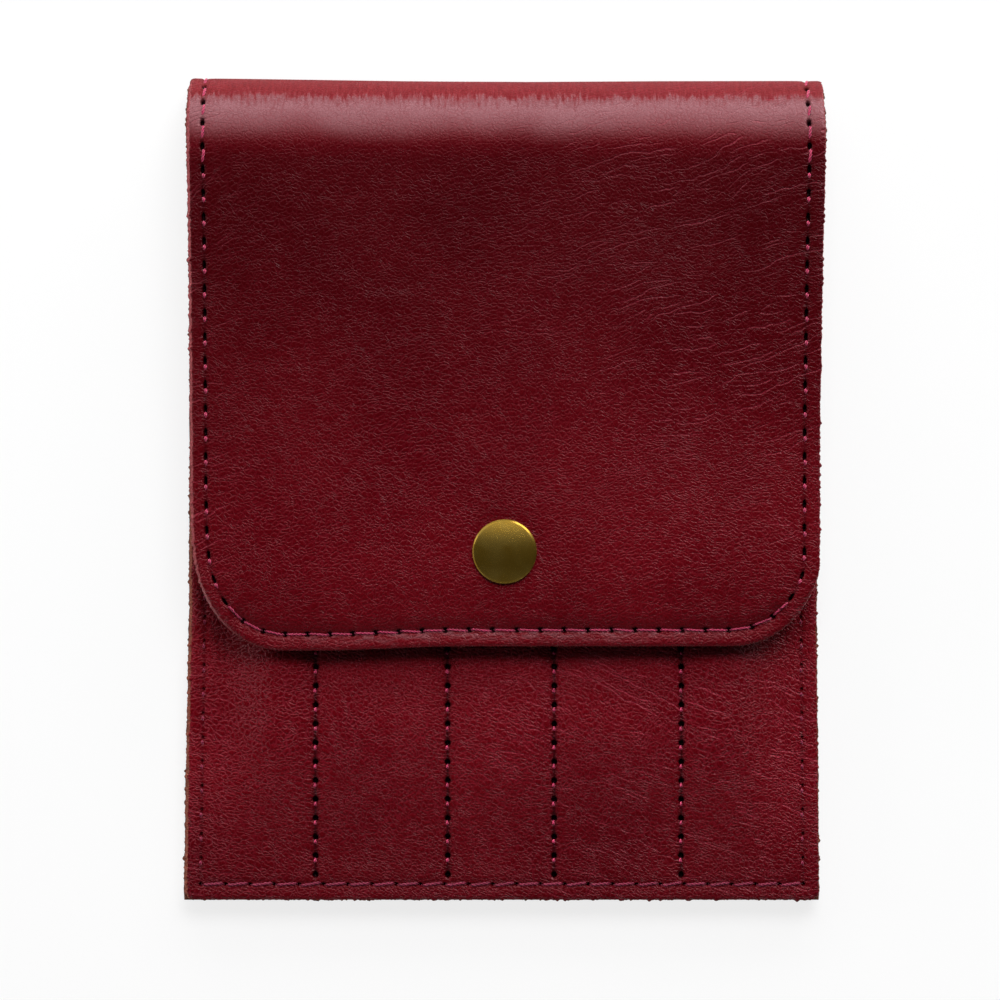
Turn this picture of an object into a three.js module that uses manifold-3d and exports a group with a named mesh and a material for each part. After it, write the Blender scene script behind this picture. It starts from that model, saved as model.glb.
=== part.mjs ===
// A leather case for interchangeable knitting needle tips, lying on its back with its flap closed.
// Millimetres. +X runs across the case, +Y towards the fold and +Z up, away from what it lies on.
// The origin is under the middle of the case, on the underside of the back panel.
import * as THREE from "three";
import { mergeVertices } from "three/addons/utils/BufferGeometryUtils.js";
import Module from "manifold-3d";

const wasm = await Module();
wasm.setup();

// The case as a whole
const CASE_WIDTH = 125;
const CASE_LENGTH = 162; // lower edge to the outside of the fold
const CASE_CORNER = 2; // radius of the two lower corners
const MOUTH_SETBACK = 29; // outside of the fold to the pockets' mouth

// Leather
const OUTER_LEATHER = 1.5;
const LINING_LEATHER = 0.8;
const BACKING_LEATHER = 0.7;
const FRONT_LEATHER = 1.5;
const FACE_GAP = 0.1; // left between two faces that lie on each other

// Needle pockets: a raised front panel over a backing with standing pleats
const POCKET_ROOM = 4.3; // clear height inside a pocket
const SEWN_MARGIN = 6; // flat edge of the front panel, sewn down on three sides
const SIDE_SLOPE = 12; // width of the rise from a side margin to the raised front
const LOWER_SLOPE = 20; // width of the rise from the lower margin
const PLEAT_WIDTH = 1.8;
const PLEAT_PLACES = [-37.1, -11.2, 9.8, 35]; // across the case, from its middle

// Flap
const FLAP_REACH = 111.5; // outside of the fold to the flap's lower edge
const FLAP_CORNER = 17.5; // radius of its two lower corners

// Fold: a tight bend at the back edge runs into an easy bend at the front
const FOLD_INSIDE_RADIUS = 1; // inside of the lining, in the tight bend
const TIGHT_BEND = THREE.MathUtils.degToRad(108); // what the tight bend turns through
const BENDS_IN_TIGHT = 2; // flexing lines in the tight bend
const BENDS_IN_EASY = 2; // flexing lines in the easy bend
const SLIT = 0.3; // between two neighbouring strips of the fold
const ARC_STEP = THREE.MathUtils.degToRad(9); // the longest facet of a bend

// Snap fastener
const SNAP_SETBACK = 18.65; // the flap's lower edge to the snap's middle
const CAP_RADIUS = 6.25;
const CAP_RISE = 1.5;
const CAP_EDGE = 0.55; // height of the cap's rolled edge
const CAP_BARREL_RADIUS = 1.7;
const CAP_BARREL_BORE = 1;
const CAP_FLARE = 0.6; // how far the riveted end spreads past its barrel
const CAP_FLARE_HEIGHT = 0.3;
const SOCKET_RADIUS = 5.6;
const SOCKET_HEIGHT = 2;
const SOCKET_PLATE = 0.5;
const SOCKET_LIP = 0.25;
const SPRING_WIRE = 0.5; // diameter
const SPRING_OPENING = THREE.MathUtils.degToRad(50); // the gap in the spring ring
const SPRING_STEPS = 24;
const STUD_FLANGE_RADIUS = 5;
const STUD_FLANGE = 0.5; // thickness
const STUD_NECK_RADIUS = 2.35;
const STUD_NECK = 0.2; // height
const STUD_HEAD_RADIUS = 2.75;
const STUD_HEAD = 0.65; // height
const EYELET_RADIUS = 1.5;
const EYELET_BORE = 1;
const EYELET_FLANGE_RADIUS = 4.2;
const EYELET_FLANGE = 0.5; // thickness
const EYELET_LIP = 0.2; // thickness of the curled end
const EYELET_CURL = 0.55; // how far the curled end spreads past its barrel
const HOLE_CLEARANCE = 0.2; // round a barrel or a flange in leather
const SNAP_CLEARANCE = 0.3; // between the pieces that part when the snap opens
const ROUND_STEPS = 32;

// Sewing
const SEAM_INSET = 3.2; // edge of the leather to the seam
const SEAM_TURN = 1.5; // radius that the pocket's seam turns a corner with
const THREAD = 0.8; // diameter
const THREAD_LIFT = 0.2; // between a thread and the leather under it
const EDGE_STITCH = 4.7;
const POCKET_STITCH = 3.75;
const STITCH_CROWN = 0.25; // how far a stitch arches between its holes
const THREAD_SIDES = 5;

// Heights of the layers, from the underside up
const liningZ = OUTER_LEATHER + FACE_GAP;
const backingZ = liningZ + LINING_LEATHER + FACE_GAP;
const floorZ = backingZ + BACKING_LEATHER;
const marginZ = floorZ + FACE_GAP;
const marginTopZ = marginZ + FRONT_LEATHER;
const roofZ = floorZ + POCKET_ROOM;
const frontTopZ = roofZ + FRONT_LEATHER;
const studZ = frontTopZ + FACE_GAP;
const socketZ = studZ + STUD_FLANGE + SNAP_CLEARANCE;
const socketTopZ = socketZ + SOCKET_HEIGHT;
const flapLiningZ = socketTopZ + FACE_GAP;
const flapZ = flapLiningZ + LINING_LEATHER + FACE_GAP;
const flapTopZ = flapZ + OUTER_LEATHER;

// Places across and along the case
const edgeX = CASE_WIDTH / 2;
const marginX = edgeX - SEWN_MARGIN;
const raisedX = marginX - SIDE_SLOPE;
const seamX = edgeX - SEAM_INSET;
const foldY = CASE_LENGTH / 2;
const lowerY = -CASE_LENGTH / 2;
const marginY = lowerY + SEWN_MARGIN;
const raisedY = marginY + LOWER_SLOPE;
const seamY = lowerY + SEAM_INSET;
const mouthY = foldY - MOUTH_SETBACK;
const flapEdgeY = foldY - FLAP_REACH;
const snapY = flapEdgeY + SNAP_SETBACK;

// The two bends that the outside of the fold follows, seen from the side, with x for Y and y for Z
const tightRadius = FOLD_INSIDE_RADIUS + LINING_LEATHER + FACE_GAP + OUTER_LEATHER;
const easyRadius =
  (flapTopZ - tightRadius * (1 - Math.cos(TIGHT_BEND))) / (1 + Math.cos(TIGHT_BEND));
const tightCentre = new THREE.Vector2(foldY - tightRadius, tightRadius);
const easyCentre = new THREE.Vector2(
  tightCentre.x - (easyRadius - tightRadius) * Math.sin(TIGHT_BEND),
  tightCentre.y + (easyRadius - tightRadius) * Math.cos(TIGHT_BEND),
);

// Angles of the lines that the fold flexes on, spread evenly over each bend
const tightShare = TIGHT_BEND / BENDS_IN_TIGHT;
const easyShare = (Math.PI - TIGHT_BEND) / BENDS_IN_EASY;
const flexAngles = [];
for (let i = 0; i < BENDS_IN_TIGHT; i++) flexAngles.push((i + 0.5) * tightShare);
for (let i = 0; i < BENDS_IN_EASY; i++) flexAngles.push(TIGHT_BEND + (i + 0.5) * easyShare);

// The two layers of the back, the fold and the flap, by their depth below its outside
const OUTER_LAYER = { top: 0, under: OUTER_LEATHER };
const LINING_LAYER = { top: liningZ, under: liningZ + LINING_LEATHER };

const burgundy = new THREE.MeshStandardMaterial({ color: 0x5a0a14, roughness: 0.5 });
const suede = new THREE.MeshStandardMaterial({ color: 0x6b3f33, roughness: 0.95 });
const thread = new THREE.MeshStandardMaterial({ color: 0xa8325a, roughness: 0.6 });
const brass = new THREE.MeshStandardMaterial({ color: 0x8f7a2e, roughness: 0.3, metalness: 1 });
const steel = new THREE.MeshStandardMaterial({ color: 0x9a9a98, roughness: 0.3, metalness: 1 });

// Booleans

function solidOf(geometry) {
  const bare = geometry.clone();
  bare.deleteAttribute("normal");
  bare.deleteAttribute("uv");
  const merged = mergeVertices(bare, 1e-4);
  return new wasm.Manifold(
    new wasm.Mesh({
      numProp: 3,
      vertProperties: merged.attributes.position.array,
      triVerts: new Uint32Array(merged.index.array),
    }),
  );
}

function geometryOf(solid) {
  const mesh = solid.getMesh();
  const geometry = new THREE.BufferGeometry();
  geometry.setAttribute("position", new THREE.BufferAttribute(mesh.vertProperties, 3));
  geometry.setIndex(new THREE.BufferAttribute(mesh.triVerts, 1));
  geometry.computeVertexNormals();
  return geometry;
}

// Flat leather

// A panel on the case's middle line, with its two lower corners rounded.
function panelOutline(halfWidth, fromY, toY, corner) {
  const shape = new THREE.Shape();
  shape.moveTo(halfWidth, toY);
  shape.lineTo(-halfWidth, toY);
  shape.lineTo(-halfWidth, fromY + corner);
  shape.absarc(corner - halfWidth, fromY + corner, corner, Math.PI, 1.5 * Math.PI, false);
  shape.lineTo(halfWidth - corner, fromY);
  shape.absarc(halfWidth - corner, fromY + corner, corner, 1.5 * Math.PI, 2 * Math.PI, false);
  shape.closePath();
  return shape;
}

function plate(shape, thickness, z = 0) {
  const geometry = new THREE.ExtrudeGeometry(shape, {
    depth: thickness,
    bevelEnabled: false,
    curveSegments: 10,
  });
  return geometry.translate(0, 0, z);
}

// Sections drawn from the side or from the end, and carried to where they run in the case

const FROM_SIDE = new THREE.Matrix4().makeBasis(
  new THREE.Vector3(0, 1, 0),
  new THREE.Vector3(0, 0, 1),
  new THREE.Vector3(1, 0, 0),
);
const FROM_END = new THREE.Matrix4().makeBasis(
  new THREE.Vector3(1, 0, 0),
  new THREE.Vector3(0, 0, 1),
  new THREE.Vector3(0, -1, 0),
);

// A section of points in Y and Z, extruded right across the case.
function acrossCase(points) {
  const section = plate(new THREE.Shape(points), CASE_WIDTH, -CASE_WIDTH / 2);
  return section.applyMatrix4(FROM_SIDE);
}

// A section of points in X and Z, extruded from the lower edge to endY.
function alongCase(points, endY) {
  const section = plate(new THREE.Shape(points), endY - lowerY, -endY);
  return section.applyMatrix4(FROM_END);
}

const pairs = (list) => list.map(([x, y]) => new THREE.Vector2(x, y));

// Bent leather

// A point of the fold, where its outside has turned by angle from the back, so far below the outside.
function foldPoint(angle, depth) {
  const [centre, radius] =
    angle <= TIGHT_BEND ? [tightCentre, tightRadius] : [easyCentre, easyRadius];
  const reach = radius - depth;
  return new THREE.Vector2(
    centre.x + reach * Math.sin(angle),
    centre.y - reach * Math.cos(angle),
  );
}

// The angle that half a slit takes up at a depth, so that a slit has parallel sides.
function slitAngle(angle, depth) {
  const radius = angle <= TIGHT_BEND ? tightRadius : easyRadius;
  return Math.asin(SLIT / 2 / (radius - depth));
}

function foldArc(fromAngle, toAngle, depth) {
  const steps = Math.max(1, Math.ceil(Math.abs(toAngle - fromAngle) / ARC_STEP));
  const points = [];
  for (let i = 0; i <= steps; i++) {
    points.push(foldPoint(fromAngle + ((toAngle - fromAngle) * i) / steps, depth));
  }
  return points;
}

// The back of a layer, up to the first flexing line.
function backLayer({ top, under }) {
  const line = flexAngles[0];
  const section = acrossCase([
    new THREE.Vector2(lowerY, top),
    ...foldArc(0, line - slitAngle(line, top), top),
    ...foldArc(line - slitAngle(line, under), 0, under),
    new THREE.Vector2(lowerY, under),
  ]);
  const outline = plate(panelOutline(edgeX, lowerY, foldY, CASE_CORNER), flapTopZ);
  return solidOf(section).intersect(solidOf(outline));
}

// The outer back has a groove in its underside, which keeps the seam's lower thread off what it lies on.
function backPanel() {
  const half = THREAD / 2 + THREAD_LIFT;
  const depth = THREAD + 2 * THREAD_LIFT;
  const ring = (offset) =>
    panelOutline(seamX + offset, seamY - offset, mouthY, SEAM_TURN + offset);
  const outside = solidOf(plate(ring(half), depth + FACE_GAP, -FACE_GAP));
  const inside = solidOf(plate(ring(-half), depth + 3 * FACE_GAP, -2 * FACE_GAP));
  return geometryOf(backLayer(OUTER_LAYER).subtract(outside.subtract(inside)));
}

// One strip of the fold, between two flexing lines.
function foldStrip({ top, under }, from, to) {
  return acrossCase([
    ...foldArc(from + slitAngle(from, top), to - slitAngle(to, top), top),
    ...foldArc(to - slitAngle(to, under), from + slitAngle(from, under), under),
  ]);
}

// The flap of a layer, from the last flexing line to its lower edge, with a hole for the snap.
function flapLayer({ top, under }) {
  const line = flexAngles[flexAngles.length - 1];
  const section = acrossCase([
    ...foldArc(line + slitAngle(line, top), Math.PI, top),
    new THREE.Vector2(flapEdgeY, flapTopZ - top),
    new THREE.Vector2(flapEdgeY, flapTopZ - under),
    ...foldArc(Math.PI, line + slitAngle(line, under), under),
  ]);
  const outline = plate(panelOutline(edgeX, flapEdgeY, foldY, FLAP_CORNER), 2 * flapTopZ);
  const hole = snapHole(CAP_BARREL_RADIUS + HOLE_CLEARANCE, flapLiningZ, 2 * flapTopZ);
  const solid = solidOf(section).intersect(solidOf(outline));
  return geometryOf(solid.subtract(solidOf(hole)));
}

// The pocket

// All that lies over baseZ and under a face that slopes up on three sides, from lowZ over the sewn
// margin to highZ under the raised front.
function risenBlock(baseZ, lowZ, highZ, endY) {
  const fromEnd = alongCase(
    pairs([
      [-edgeX, baseZ],
      [edgeX, baseZ],
      [edgeX, lowZ],
      [marginX, lowZ],
      [raisedX, highZ],
      [-raisedX, highZ],
      [-marginX, lowZ],
      [-edgeX, lowZ],
    ]),
    endY,
  );
  const fromSide = acrossCase(
    pairs([
      [lowerY, baseZ],
      [endY, baseZ],
      [endY, highZ],
      [raisedY, highZ],
      [marginY, lowZ],
      [lowerY, lowZ],
    ]),
  );
  return solidOf(fromEnd).intersect(solidOf(fromSide));
}

// The height of the front panel's outside, over a point of the case.
function frontFace(x, y) {
  const side = (marginX - Math.abs(x)) / SIDE_SLOPE;
  const lower = (y - marginY) / LOWER_SLOPE;
  const share = THREE.MathUtils.clamp(Math.min(side, lower), 0, 1);
  return THREE.MathUtils.lerp(marginTopZ, frontTopZ, share);
}

function frontPanel() {
  const outline = solidOf(plate(panelOutline(edgeX, lowerY, mouthY, CASE_CORNER), frontTopZ));
  const outside = risenBlock(marginZ, marginTopZ, frontTopZ, mouthY);
  const inside = risenBlock(backingZ, floorZ, roofZ, mouthY + FACE_GAP);
  const hole = snapHole(EYELET_RADIUS + HOLE_CLEARANCE, roofZ, frontTopZ + FACE_GAP);
  const seatRadius = EYELET_FLANGE_RADIUS + HOLE_CLEARANCE;
  const seat = snapHole(seatRadius, roofZ, roofZ + EYELET_FLANGE + FACE_GAP);
  const shell = outside.intersect(outline).subtract(inside);
  return geometryOf(shell.subtract(solidOf(hole)).subtract(solidOf(seat)));
}

// The backing lies flat and stands up in a pleat under each pocket seam.
function pocketBacking() {
  const outline = panelOutline(edgeX, lowerY, mouthY, CASE_CORNER);
  const under = risenBlock(
    floorZ - BACKING_LEATHER / 2,
    floorZ - FACE_GAP,
    roofZ - FACE_GAP,
    mouthY,
  );
  let backing = solidOf(plate(outline, BACKING_LEATHER, backingZ));
  for (const x of PLEAT_PLACES) {
    const [left, right] = [x - PLEAT_WIDTH / 2, x + PLEAT_WIDTH / 2];
    const pleat = alongCase(
      pairs([[left, backingZ], [right, backingZ], [right, roofZ], [left, roofZ]]),
      mouthY,
    );
    backing = backing.add(solidOf(pleat).intersect(under));
  }
  return geometryOf(backing);
}

// The snap

// Turns a closed profile of [radius, height] pairs about the snap's axis.
function turned(profile) {
  const geometry = new THREE.LatheGeometry(pairs(profile), ROUND_STEPS);
  return geometry.rotateX(Math.PI / 2).translate(0, snapY, 0);
}

// A plain round cutter on the snap's axis, which starts a little under fromZ.
function snapHole(radius, fromZ, toZ) {
  const startZ = fromZ - FACE_GAP;
  return turned([[0, startZ], [radius, startZ], [radius, toZ], [0, toZ]]);
}

// The cap: a domed head on the flap and a barrel riveted over the socket's plate.
function snapCap() {
  const seatZ = flapTopZ + FACE_GAP;
  const flareTopZ = socketTopZ - SOCKET_PLATE - FACE_GAP;
  const flareZ = flareTopZ - CAP_FLARE_HEIGHT;
  const flareRadius = CAP_BARREL_RADIUS + CAP_FLARE;
  const domeSteps = 5;
  const dome = [];
  for (let i = 0; i < domeSteps; i++) {
    const turn = ((i / domeSteps) * Math.PI) / 2;
    const rise = CAP_EDGE + (CAP_RISE - CAP_EDGE) * Math.sin(turn);
    dome.push([CAP_RADIUS * Math.cos(turn), seatZ + rise]);
  }
  return turned([
    [0, seatZ],
    [CAP_BARREL_BORE, seatZ],
    [CAP_BARREL_BORE, flareZ],
    [flareRadius, flareZ],
    [flareRadius, flareTopZ],
    [CAP_BARREL_RADIUS, flareTopZ],
    [CAP_BARREL_RADIUS, seatZ],
    [CAP_RADIUS - CAP_EDGE / 2, seatZ],
    ...dome,
    [0, seatZ + CAP_RISE],
  ]);
}

// Radii that the stud, the spring that grips it and the socket round both share
const springInside = STUD_HEAD_RADIUS + SNAP_CLEARANCE;
const springRadius = springInside + SPRING_WIRE / 2;
const springZ = socketZ + SOCKET_LIP + FACE_GAP + SPRING_WIRE / 2;
const grooveRadius = springInside + SPRING_WIRE + FACE_GAP;
const cavityRadius = springInside + FACE_GAP;

function snapSocket() {
  const grooveZ = socketZ + SOCKET_LIP;
  const grooveTopZ = grooveZ + SPRING_WIRE + 2 * FACE_GAP;
  const plateZ = socketTopZ - SOCKET_PLATE;
  const plateBore = CAP_BARREL_RADIUS + FACE_GAP;
  return turned([
    [cavityRadius, socketZ],
    [SOCKET_RADIUS, socketZ],
    [SOCKET_RADIUS, socketTopZ],
    [plateBore, socketTopZ],
    [plateBore, plateZ],
    [cavityRadius, plateZ],
    [cavityRadius, grooveTopZ],
    [grooveRadius, grooveTopZ],
    [grooveRadius, grooveZ],
    [cavityRadius, grooveZ],
    [cavityRadius, socketZ],
  ]);
}

// A split ring of wire, which opens a little as the stud's head passes through it.
function socketSpring() {
  class SplitRing extends THREE.Curve {
    getPoint(t, point = new THREE.Vector3()) {
      const turn = SPRING_OPENING / 2 + t * (2 * Math.PI - SPRING_OPENING);
      const [x, y] = [springRadius * Math.cos(turn), springRadius * Math.sin(turn)];
      return point.set(x, snapY + y, springZ);
    }
  }
  return sweep(new SplitRing(), SPRING_WIRE, SPRING_STEPS);
}

function snapStud() {
  const bore = EYELET_RADIUS + FACE_GAP;
  const flangeTopZ = studZ + STUD_FLANGE;
  const headZ = flangeTopZ + STUD_NECK;
  const headTopZ = headZ + STUD_HEAD;
  const crown = STUD_HEAD / 3;
  return turned([
    [bore, studZ],
    [STUD_FLANGE_RADIUS, studZ],
    [STUD_FLANGE_RADIUS, flangeTopZ],
    [STUD_NECK_RADIUS, flangeTopZ],
    [STUD_NECK_RADIUS, headZ],
    [STUD_HEAD_RADIUS, headZ + crown],
    [STUD_HEAD_RADIUS, headTopZ - crown],
    [STUD_NECK_RADIUS, headTopZ],
    [bore, headTopZ],
    [bore, studZ],
  ]);
}

// The eyelet holds the stud: its flange lies in the front panel's seat, its end is curled over the stud.
function studEyelet() {
  const lipZ = studZ + STUD_FLANGE + STUD_NECK + STUD_HEAD + FACE_GAP;
  const curlRadius = EYELET_RADIUS + EYELET_CURL;
  return turned([
    [EYELET_BORE, roofZ],
    [EYELET_FLANGE_RADIUS, roofZ],
    [EYELET_FLANGE_RADIUS, roofZ + EYELET_FLANGE],
    [EYELET_RADIUS, roofZ + EYELET_FLANGE],
    [EYELET_RADIUS, lipZ],
    [curlRadius, lipZ],
    [curlRadius, lipZ + EYELET_LIP],
    [EYELET_BORE, lipZ + EYELET_LIP],
    [EYELET_BORE, roofZ],
  ]);
}

// Thread

// A round cord of so many steps along a curve.
function sweep(curve, diameter, steps) {
  const points = [];
  for (let i = 0; i < THREAD_SIDES; i++) {
    const turn = (i / THREAD_SIDES) * 2 * Math.PI;
    points.push([(diameter / 2) * Math.cos(turn), (diameter / 2) * Math.sin(turn)]);
  }
  const section = new THREE.Shape(pairs(points));
  return new THREE.ExtrudeGeometry(section, { steps, extrudePath: curve, bevelEnabled: false });
}

// A seam's thread over or under a face. It follows a flat line, and arches over each stitch by crown.
function seamThread(line, stitch, heightAt, crown) {
  const stitches = Math.max(1, Math.round(line.getLength() / stitch));
  class Stitches extends THREE.Curve {
    getPoint(t, point = new THREE.Vector3()) {
      const place = line.getPointAt(t);
      const arch = crown * Math.sin(Math.PI * stitches * t) ** 2;
      return point.set(place.x, place.y, heightAt(place.x, place.y) + arch);
    }
  }
  return sweep(new Stitches(), THREAD, (crown ? 2 : 1) * stitches);
}

const threadOffset = THREAD_LIFT + THREAD / 2;
const onFront = (x, y) => frontFace(x, y) + threadOffset;
const onFlap = () => flapTopZ + threadOffset;
const underFlap = () => flapLiningZ - threadOffset;
const underBack = () => threadOffset;

// A seam down one side, round both lower corners and up the other side.
function edgeSeam(lowY, topY, corner) {
  const line = new THREE.Path();
  line.moveTo(-seamX, topY);
  line.lineTo(-seamX, lowY + corner);
  line.absarc(corner - seamX, lowY + corner, corner, Math.PI, 1.5 * Math.PI, false);
  line.lineTo(seamX - corner, lowY);
  line.absarc(seamX - corner, lowY + corner, corner, 1.5 * Math.PI, 2 * Math.PI, false);
  line.lineTo(seamX, topY);
  return line;
}

// The seam of one pocket's pleat, from just above the lower seam to just inside the mouth.
function pleatSeam(x) {
  return new THREE.LineCurve(
    new THREE.Vector2(x, seamY + 2 * THREAD),
    new THREE.Vector2(x, mouthY - THREAD),
  );
}

// Assembly

const needleCase = new THREE.Group();

function add(name, geometry, material) {
  const mesh = new THREE.Mesh(geometry, material);
  mesh.name = name;
  needleCase.add(mesh);
}

// The back, its lining and the pocket on it
add("back_panel", backPanel(), burgundy);
add("back_lining", geometryOf(backLayer(LINING_LAYER)), suede);
add("pocket_backing", pocketBacking(), suede);
add("front_panel", frontPanel(), burgundy);

// The fold, in strips that flex on the lines between them
for (let i = 0; i + 1 < flexAngles.length; i++) {
  const [from, to] = [flexAngles[i], flexAngles[i + 1]];
  add(`fold_leather_${i + 1}`, foldStrip(OUTER_LAYER, from, to), burgundy);
  add(`fold_lining_${i + 1}`, foldStrip(LINING_LAYER, from, to), suede);
}

// The flap and its lining
add("flap_leather", flapLayer(OUTER_LAYER), burgundy);
add("flap_lining", flapLayer(LINING_LAYER), suede);

// The snap: cap, socket and spring on the flap, stud and eyelet on the front panel
add("snap_cap", snapCap(), brass);
add("snap_socket", snapSocket(), brass);
add("socket_spring", socketSpring(), steel);
add("snap_stud", snapStud(), brass);
add("stud_eyelet", studEyelet(), brass);

// The seams
const pocketSeam = edgeSeam(seamY, mouthY - THREAD, SEAM_TURN);
const flapSeam = edgeSeam(flapEdgeY + SEAM_INSET, easyCentre.x, FLAP_CORNER - SEAM_INSET);
add("pocket_seam_thread", seamThread(pocketSeam, EDGE_STITCH, onFront, STITCH_CROWN), thread);
add("back_seam_thread", seamThread(pocketSeam, EDGE_STITCH / 2, underBack, 0), thread);
add("flap_seam_thread", seamThread(flapSeam, EDGE_STITCH, onFlap, STITCH_CROWN), thread);
add("flap_seam_under_thread", seamThread(flapSeam, EDGE_STITCH, underFlap, 0), thread);
PLEAT_PLACES.forEach((x, i) => {
  const geometry = seamThread(pleatSeam(x), POCKET_STITCH, onFront, STITCH_CROWN);
  add(`pocket_thread_${i + 1}`, geometry, thread);
});

export default needleCase;
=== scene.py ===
import math
from collections import namedtuple

import bpy
import numpy as np
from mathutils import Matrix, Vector, kdtree, noise
from mathutils.geometry import delaunay_2d_cdt


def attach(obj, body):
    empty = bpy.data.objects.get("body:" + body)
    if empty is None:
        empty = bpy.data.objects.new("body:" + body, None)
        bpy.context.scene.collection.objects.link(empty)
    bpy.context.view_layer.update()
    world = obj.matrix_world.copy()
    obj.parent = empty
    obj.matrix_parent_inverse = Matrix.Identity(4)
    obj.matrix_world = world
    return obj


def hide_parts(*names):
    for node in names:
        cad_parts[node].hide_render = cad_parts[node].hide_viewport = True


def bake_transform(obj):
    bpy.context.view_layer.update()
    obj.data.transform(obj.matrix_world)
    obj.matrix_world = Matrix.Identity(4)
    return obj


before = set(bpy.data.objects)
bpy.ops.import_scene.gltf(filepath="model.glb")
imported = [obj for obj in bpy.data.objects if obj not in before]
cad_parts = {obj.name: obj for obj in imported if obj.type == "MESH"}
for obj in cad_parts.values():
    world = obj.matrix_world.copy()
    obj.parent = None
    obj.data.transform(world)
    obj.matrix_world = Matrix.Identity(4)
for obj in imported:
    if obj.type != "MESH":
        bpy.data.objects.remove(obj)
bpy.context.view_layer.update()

MM = 0.001

# Sizes in millimetres, as in the CAD model
HALF = 62.5
LOWER_Y = -81.0
FOLD_Y = 81.0
MOUTH_Y = 52.0
FLAP_EDGE_Y = -30.5
SNAP_Y = -11.85
LEATHER = 1.5
LINING = 0.8
BACKING = 0.7
FACE_GAP = 0.1
CASE_CORNER = 2.0
FLAP_CORNER = 17.5
SEAM_INSET = 3.2
EDGE_STITCH = 4.7
POCKET_STITCH = 3.75
PLEATS = (-37.1, -11.2, 9.8, 35.0)
SEWN_MARGIN = 6.0
SIDE_SLOPE = 12.0
LOWER_SLOPE = 32.0
MARGIN_TOP = 4.8
FRONT_TOP = 9.0
FLAP_TOP = 14.4
TIGHT_R = 3.4
TIGHT_TURN = math.radians(108)

# The fold's two bends and the lengths along the outside of the long cut
_turn_cos, _turn_sin = math.cos(TIGHT_TURN), math.sin(TIGHT_TURN)
EASY_R = (FLAP_TOP - TIGHT_R * (1 - _turn_cos)) / (1 + _turn_cos)
TIGHT_C = (FOLD_Y - TIGHT_R, TIGHT_R)
EASY_C = (
    TIGHT_C[0] - (EASY_R - TIGHT_R) * _turn_sin,
    TIGHT_C[1] + (EASY_R - TIGHT_R) * _turn_cos,
)
FOLD_V = TIGHT_C[0] - LOWER_Y
EASY_V = FOLD_V + TIGHT_R * TIGHT_TURN
FLAP_V = EASY_V + EASY_R * (math.pi - TIGHT_TURN)
END_V = FLAP_V + EASY_C[0] - FLAP_EDGE_Y
MOUTH_V = MOUTH_Y - LOWER_Y
SNAP_V = FLAP_V + EASY_C[0] - SNAP_Y
INSIDE = LEATHER + FACE_GAP + LINING

# The four stretches of the fold that bend, each across one joint
STRIPS = (
    ("case", "fold_1", 0, 54, TIGHT_R, TIGHT_C),
    ("fold_1", "fold_2", 54, 108, TIGHT_R, TIGHT_C),
    ("fold_2", "fold_3", 108, 144, EASY_R, EASY_C),
    ("fold_3", "flap", 144, 180, EASY_R, EASY_C),
)


def strip_v(angle):
    """How far along the cut the fold has turned by an angle."""
    turn = math.radians(angle)
    if turn <= TIGHT_TURN:
        return FOLD_V + TIGHT_R * turn
    return EASY_V + EASY_R * (turn - TIGHT_TURN)


# Camera

CAMERA_PLACE = (-0.9, -1.8, FLAP_TOP + 800)
CAMERA_LENS = 147.4
SENSOR_WIDTH = 36
CLIP_START = 0.01
camera = bpy.data.objects.new("camera", bpy.data.cameras.new("camera"))
bpy.context.scene.collection.objects.link(camera)
camera.location = Vector(CAMERA_PLACE) * MM
camera.data.lens = CAMERA_LENS
camera.data.sensor_width = SENSOR_WIDTH
camera.data.clip_start = CLIP_START
bpy.context.scene.camera = camera
bpy.context.scene.view_settings.view_transform = "Standard"


# Shapes of the leather

def smooth(t):
    t = np.clip(t, 0, 1)
    return t * t * (3 - 2 * t)


def ramp(value, start, run):
    """From 0 to 1 over a run from a start."""
    return smooth((value - start) / run)


def bell(off, width):
    """1 at no distance, falling away over a width."""
    return np.exp(-((off / width) ** 2))


def unit(rows):
    """Directions made one long."""
    return rows / np.linalg.norm(rows, axis=1)[:, None]


def lengths(line):
    """How far along a line each of its points lies."""
    return np.concatenate([[0], np.cumsum(np.linalg.norm(np.diff(line, axis=0), axis=1))])


def field(x, y, scale, seed):
    """Smooth noise over a plane, in waves about scale wide."""
    s = 1 / scale
    return np.array([noise.noise(Vector((a * s, b * s, seed))) for a, b in zip(x, y)])


# Along Y: how far the side edges come in, and how far both lean to the right
CASE_EDGES = np.array([(-81, -0.35, -0.6), (-55, -0.05, -0.5), (-25, 0.4, -0.35), (60, 0.1, 0.2),
                       (85, 0.0, 0.2)])
FLAP_EDGES = np.array([(-31, 1.6, 0.75), (-27, 1.85, 0.9), (-21, 1.75, 0.8), (-16.5, 1.4, 0.75),
                       (-13, 1.1, 0.45), (-8, 0.85, 0.2), (0, 0.75, 0.1), (18, 0.7, 0.1),
                       (48, 0.35, 0.25), (67, -0.1, 0.3), (85, 0.0, 0.1)])


def sway(x, y, edges):
    """The case isn't quite straight: its side edges come in and lean a little."""
    inwards = np.interp(y, edges[:, 0], edges[:, 1])
    lean = np.interp(y, edges[:, 0], edges[:, 2])
    return x + (x / HALF) ** 2 * (lean - np.sign(x) * inwards)


FLAP_DROOP = 1.1
CORNER_SAG = 1.6
FLAP_WAVE, FLAP_WAVE_SIZE = 0.3, 34
FLAP_SKEW = 0.85
SNAP_STIFF = 14
FOLD_LEAN = ((-62, -40, -20, 5, 30, 62), (0.75, 0.45, 0.15, 0.0, 0.15, 0.2))
# Where each of them starts and the run over which it comes in
SAG_ALONG, SAG_ACROSS = (FLAP_V + 8, 70), (26, 36)
DROOP_ALONG = (SNAP_V + 3, END_V - SNAP_V - 3)
WAVE_ALONG = (FLAP_V, 25)
SKEW_ALONG, SKEW_ACROSS = (SNAP_V - 20, 30), (8, 30)


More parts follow.
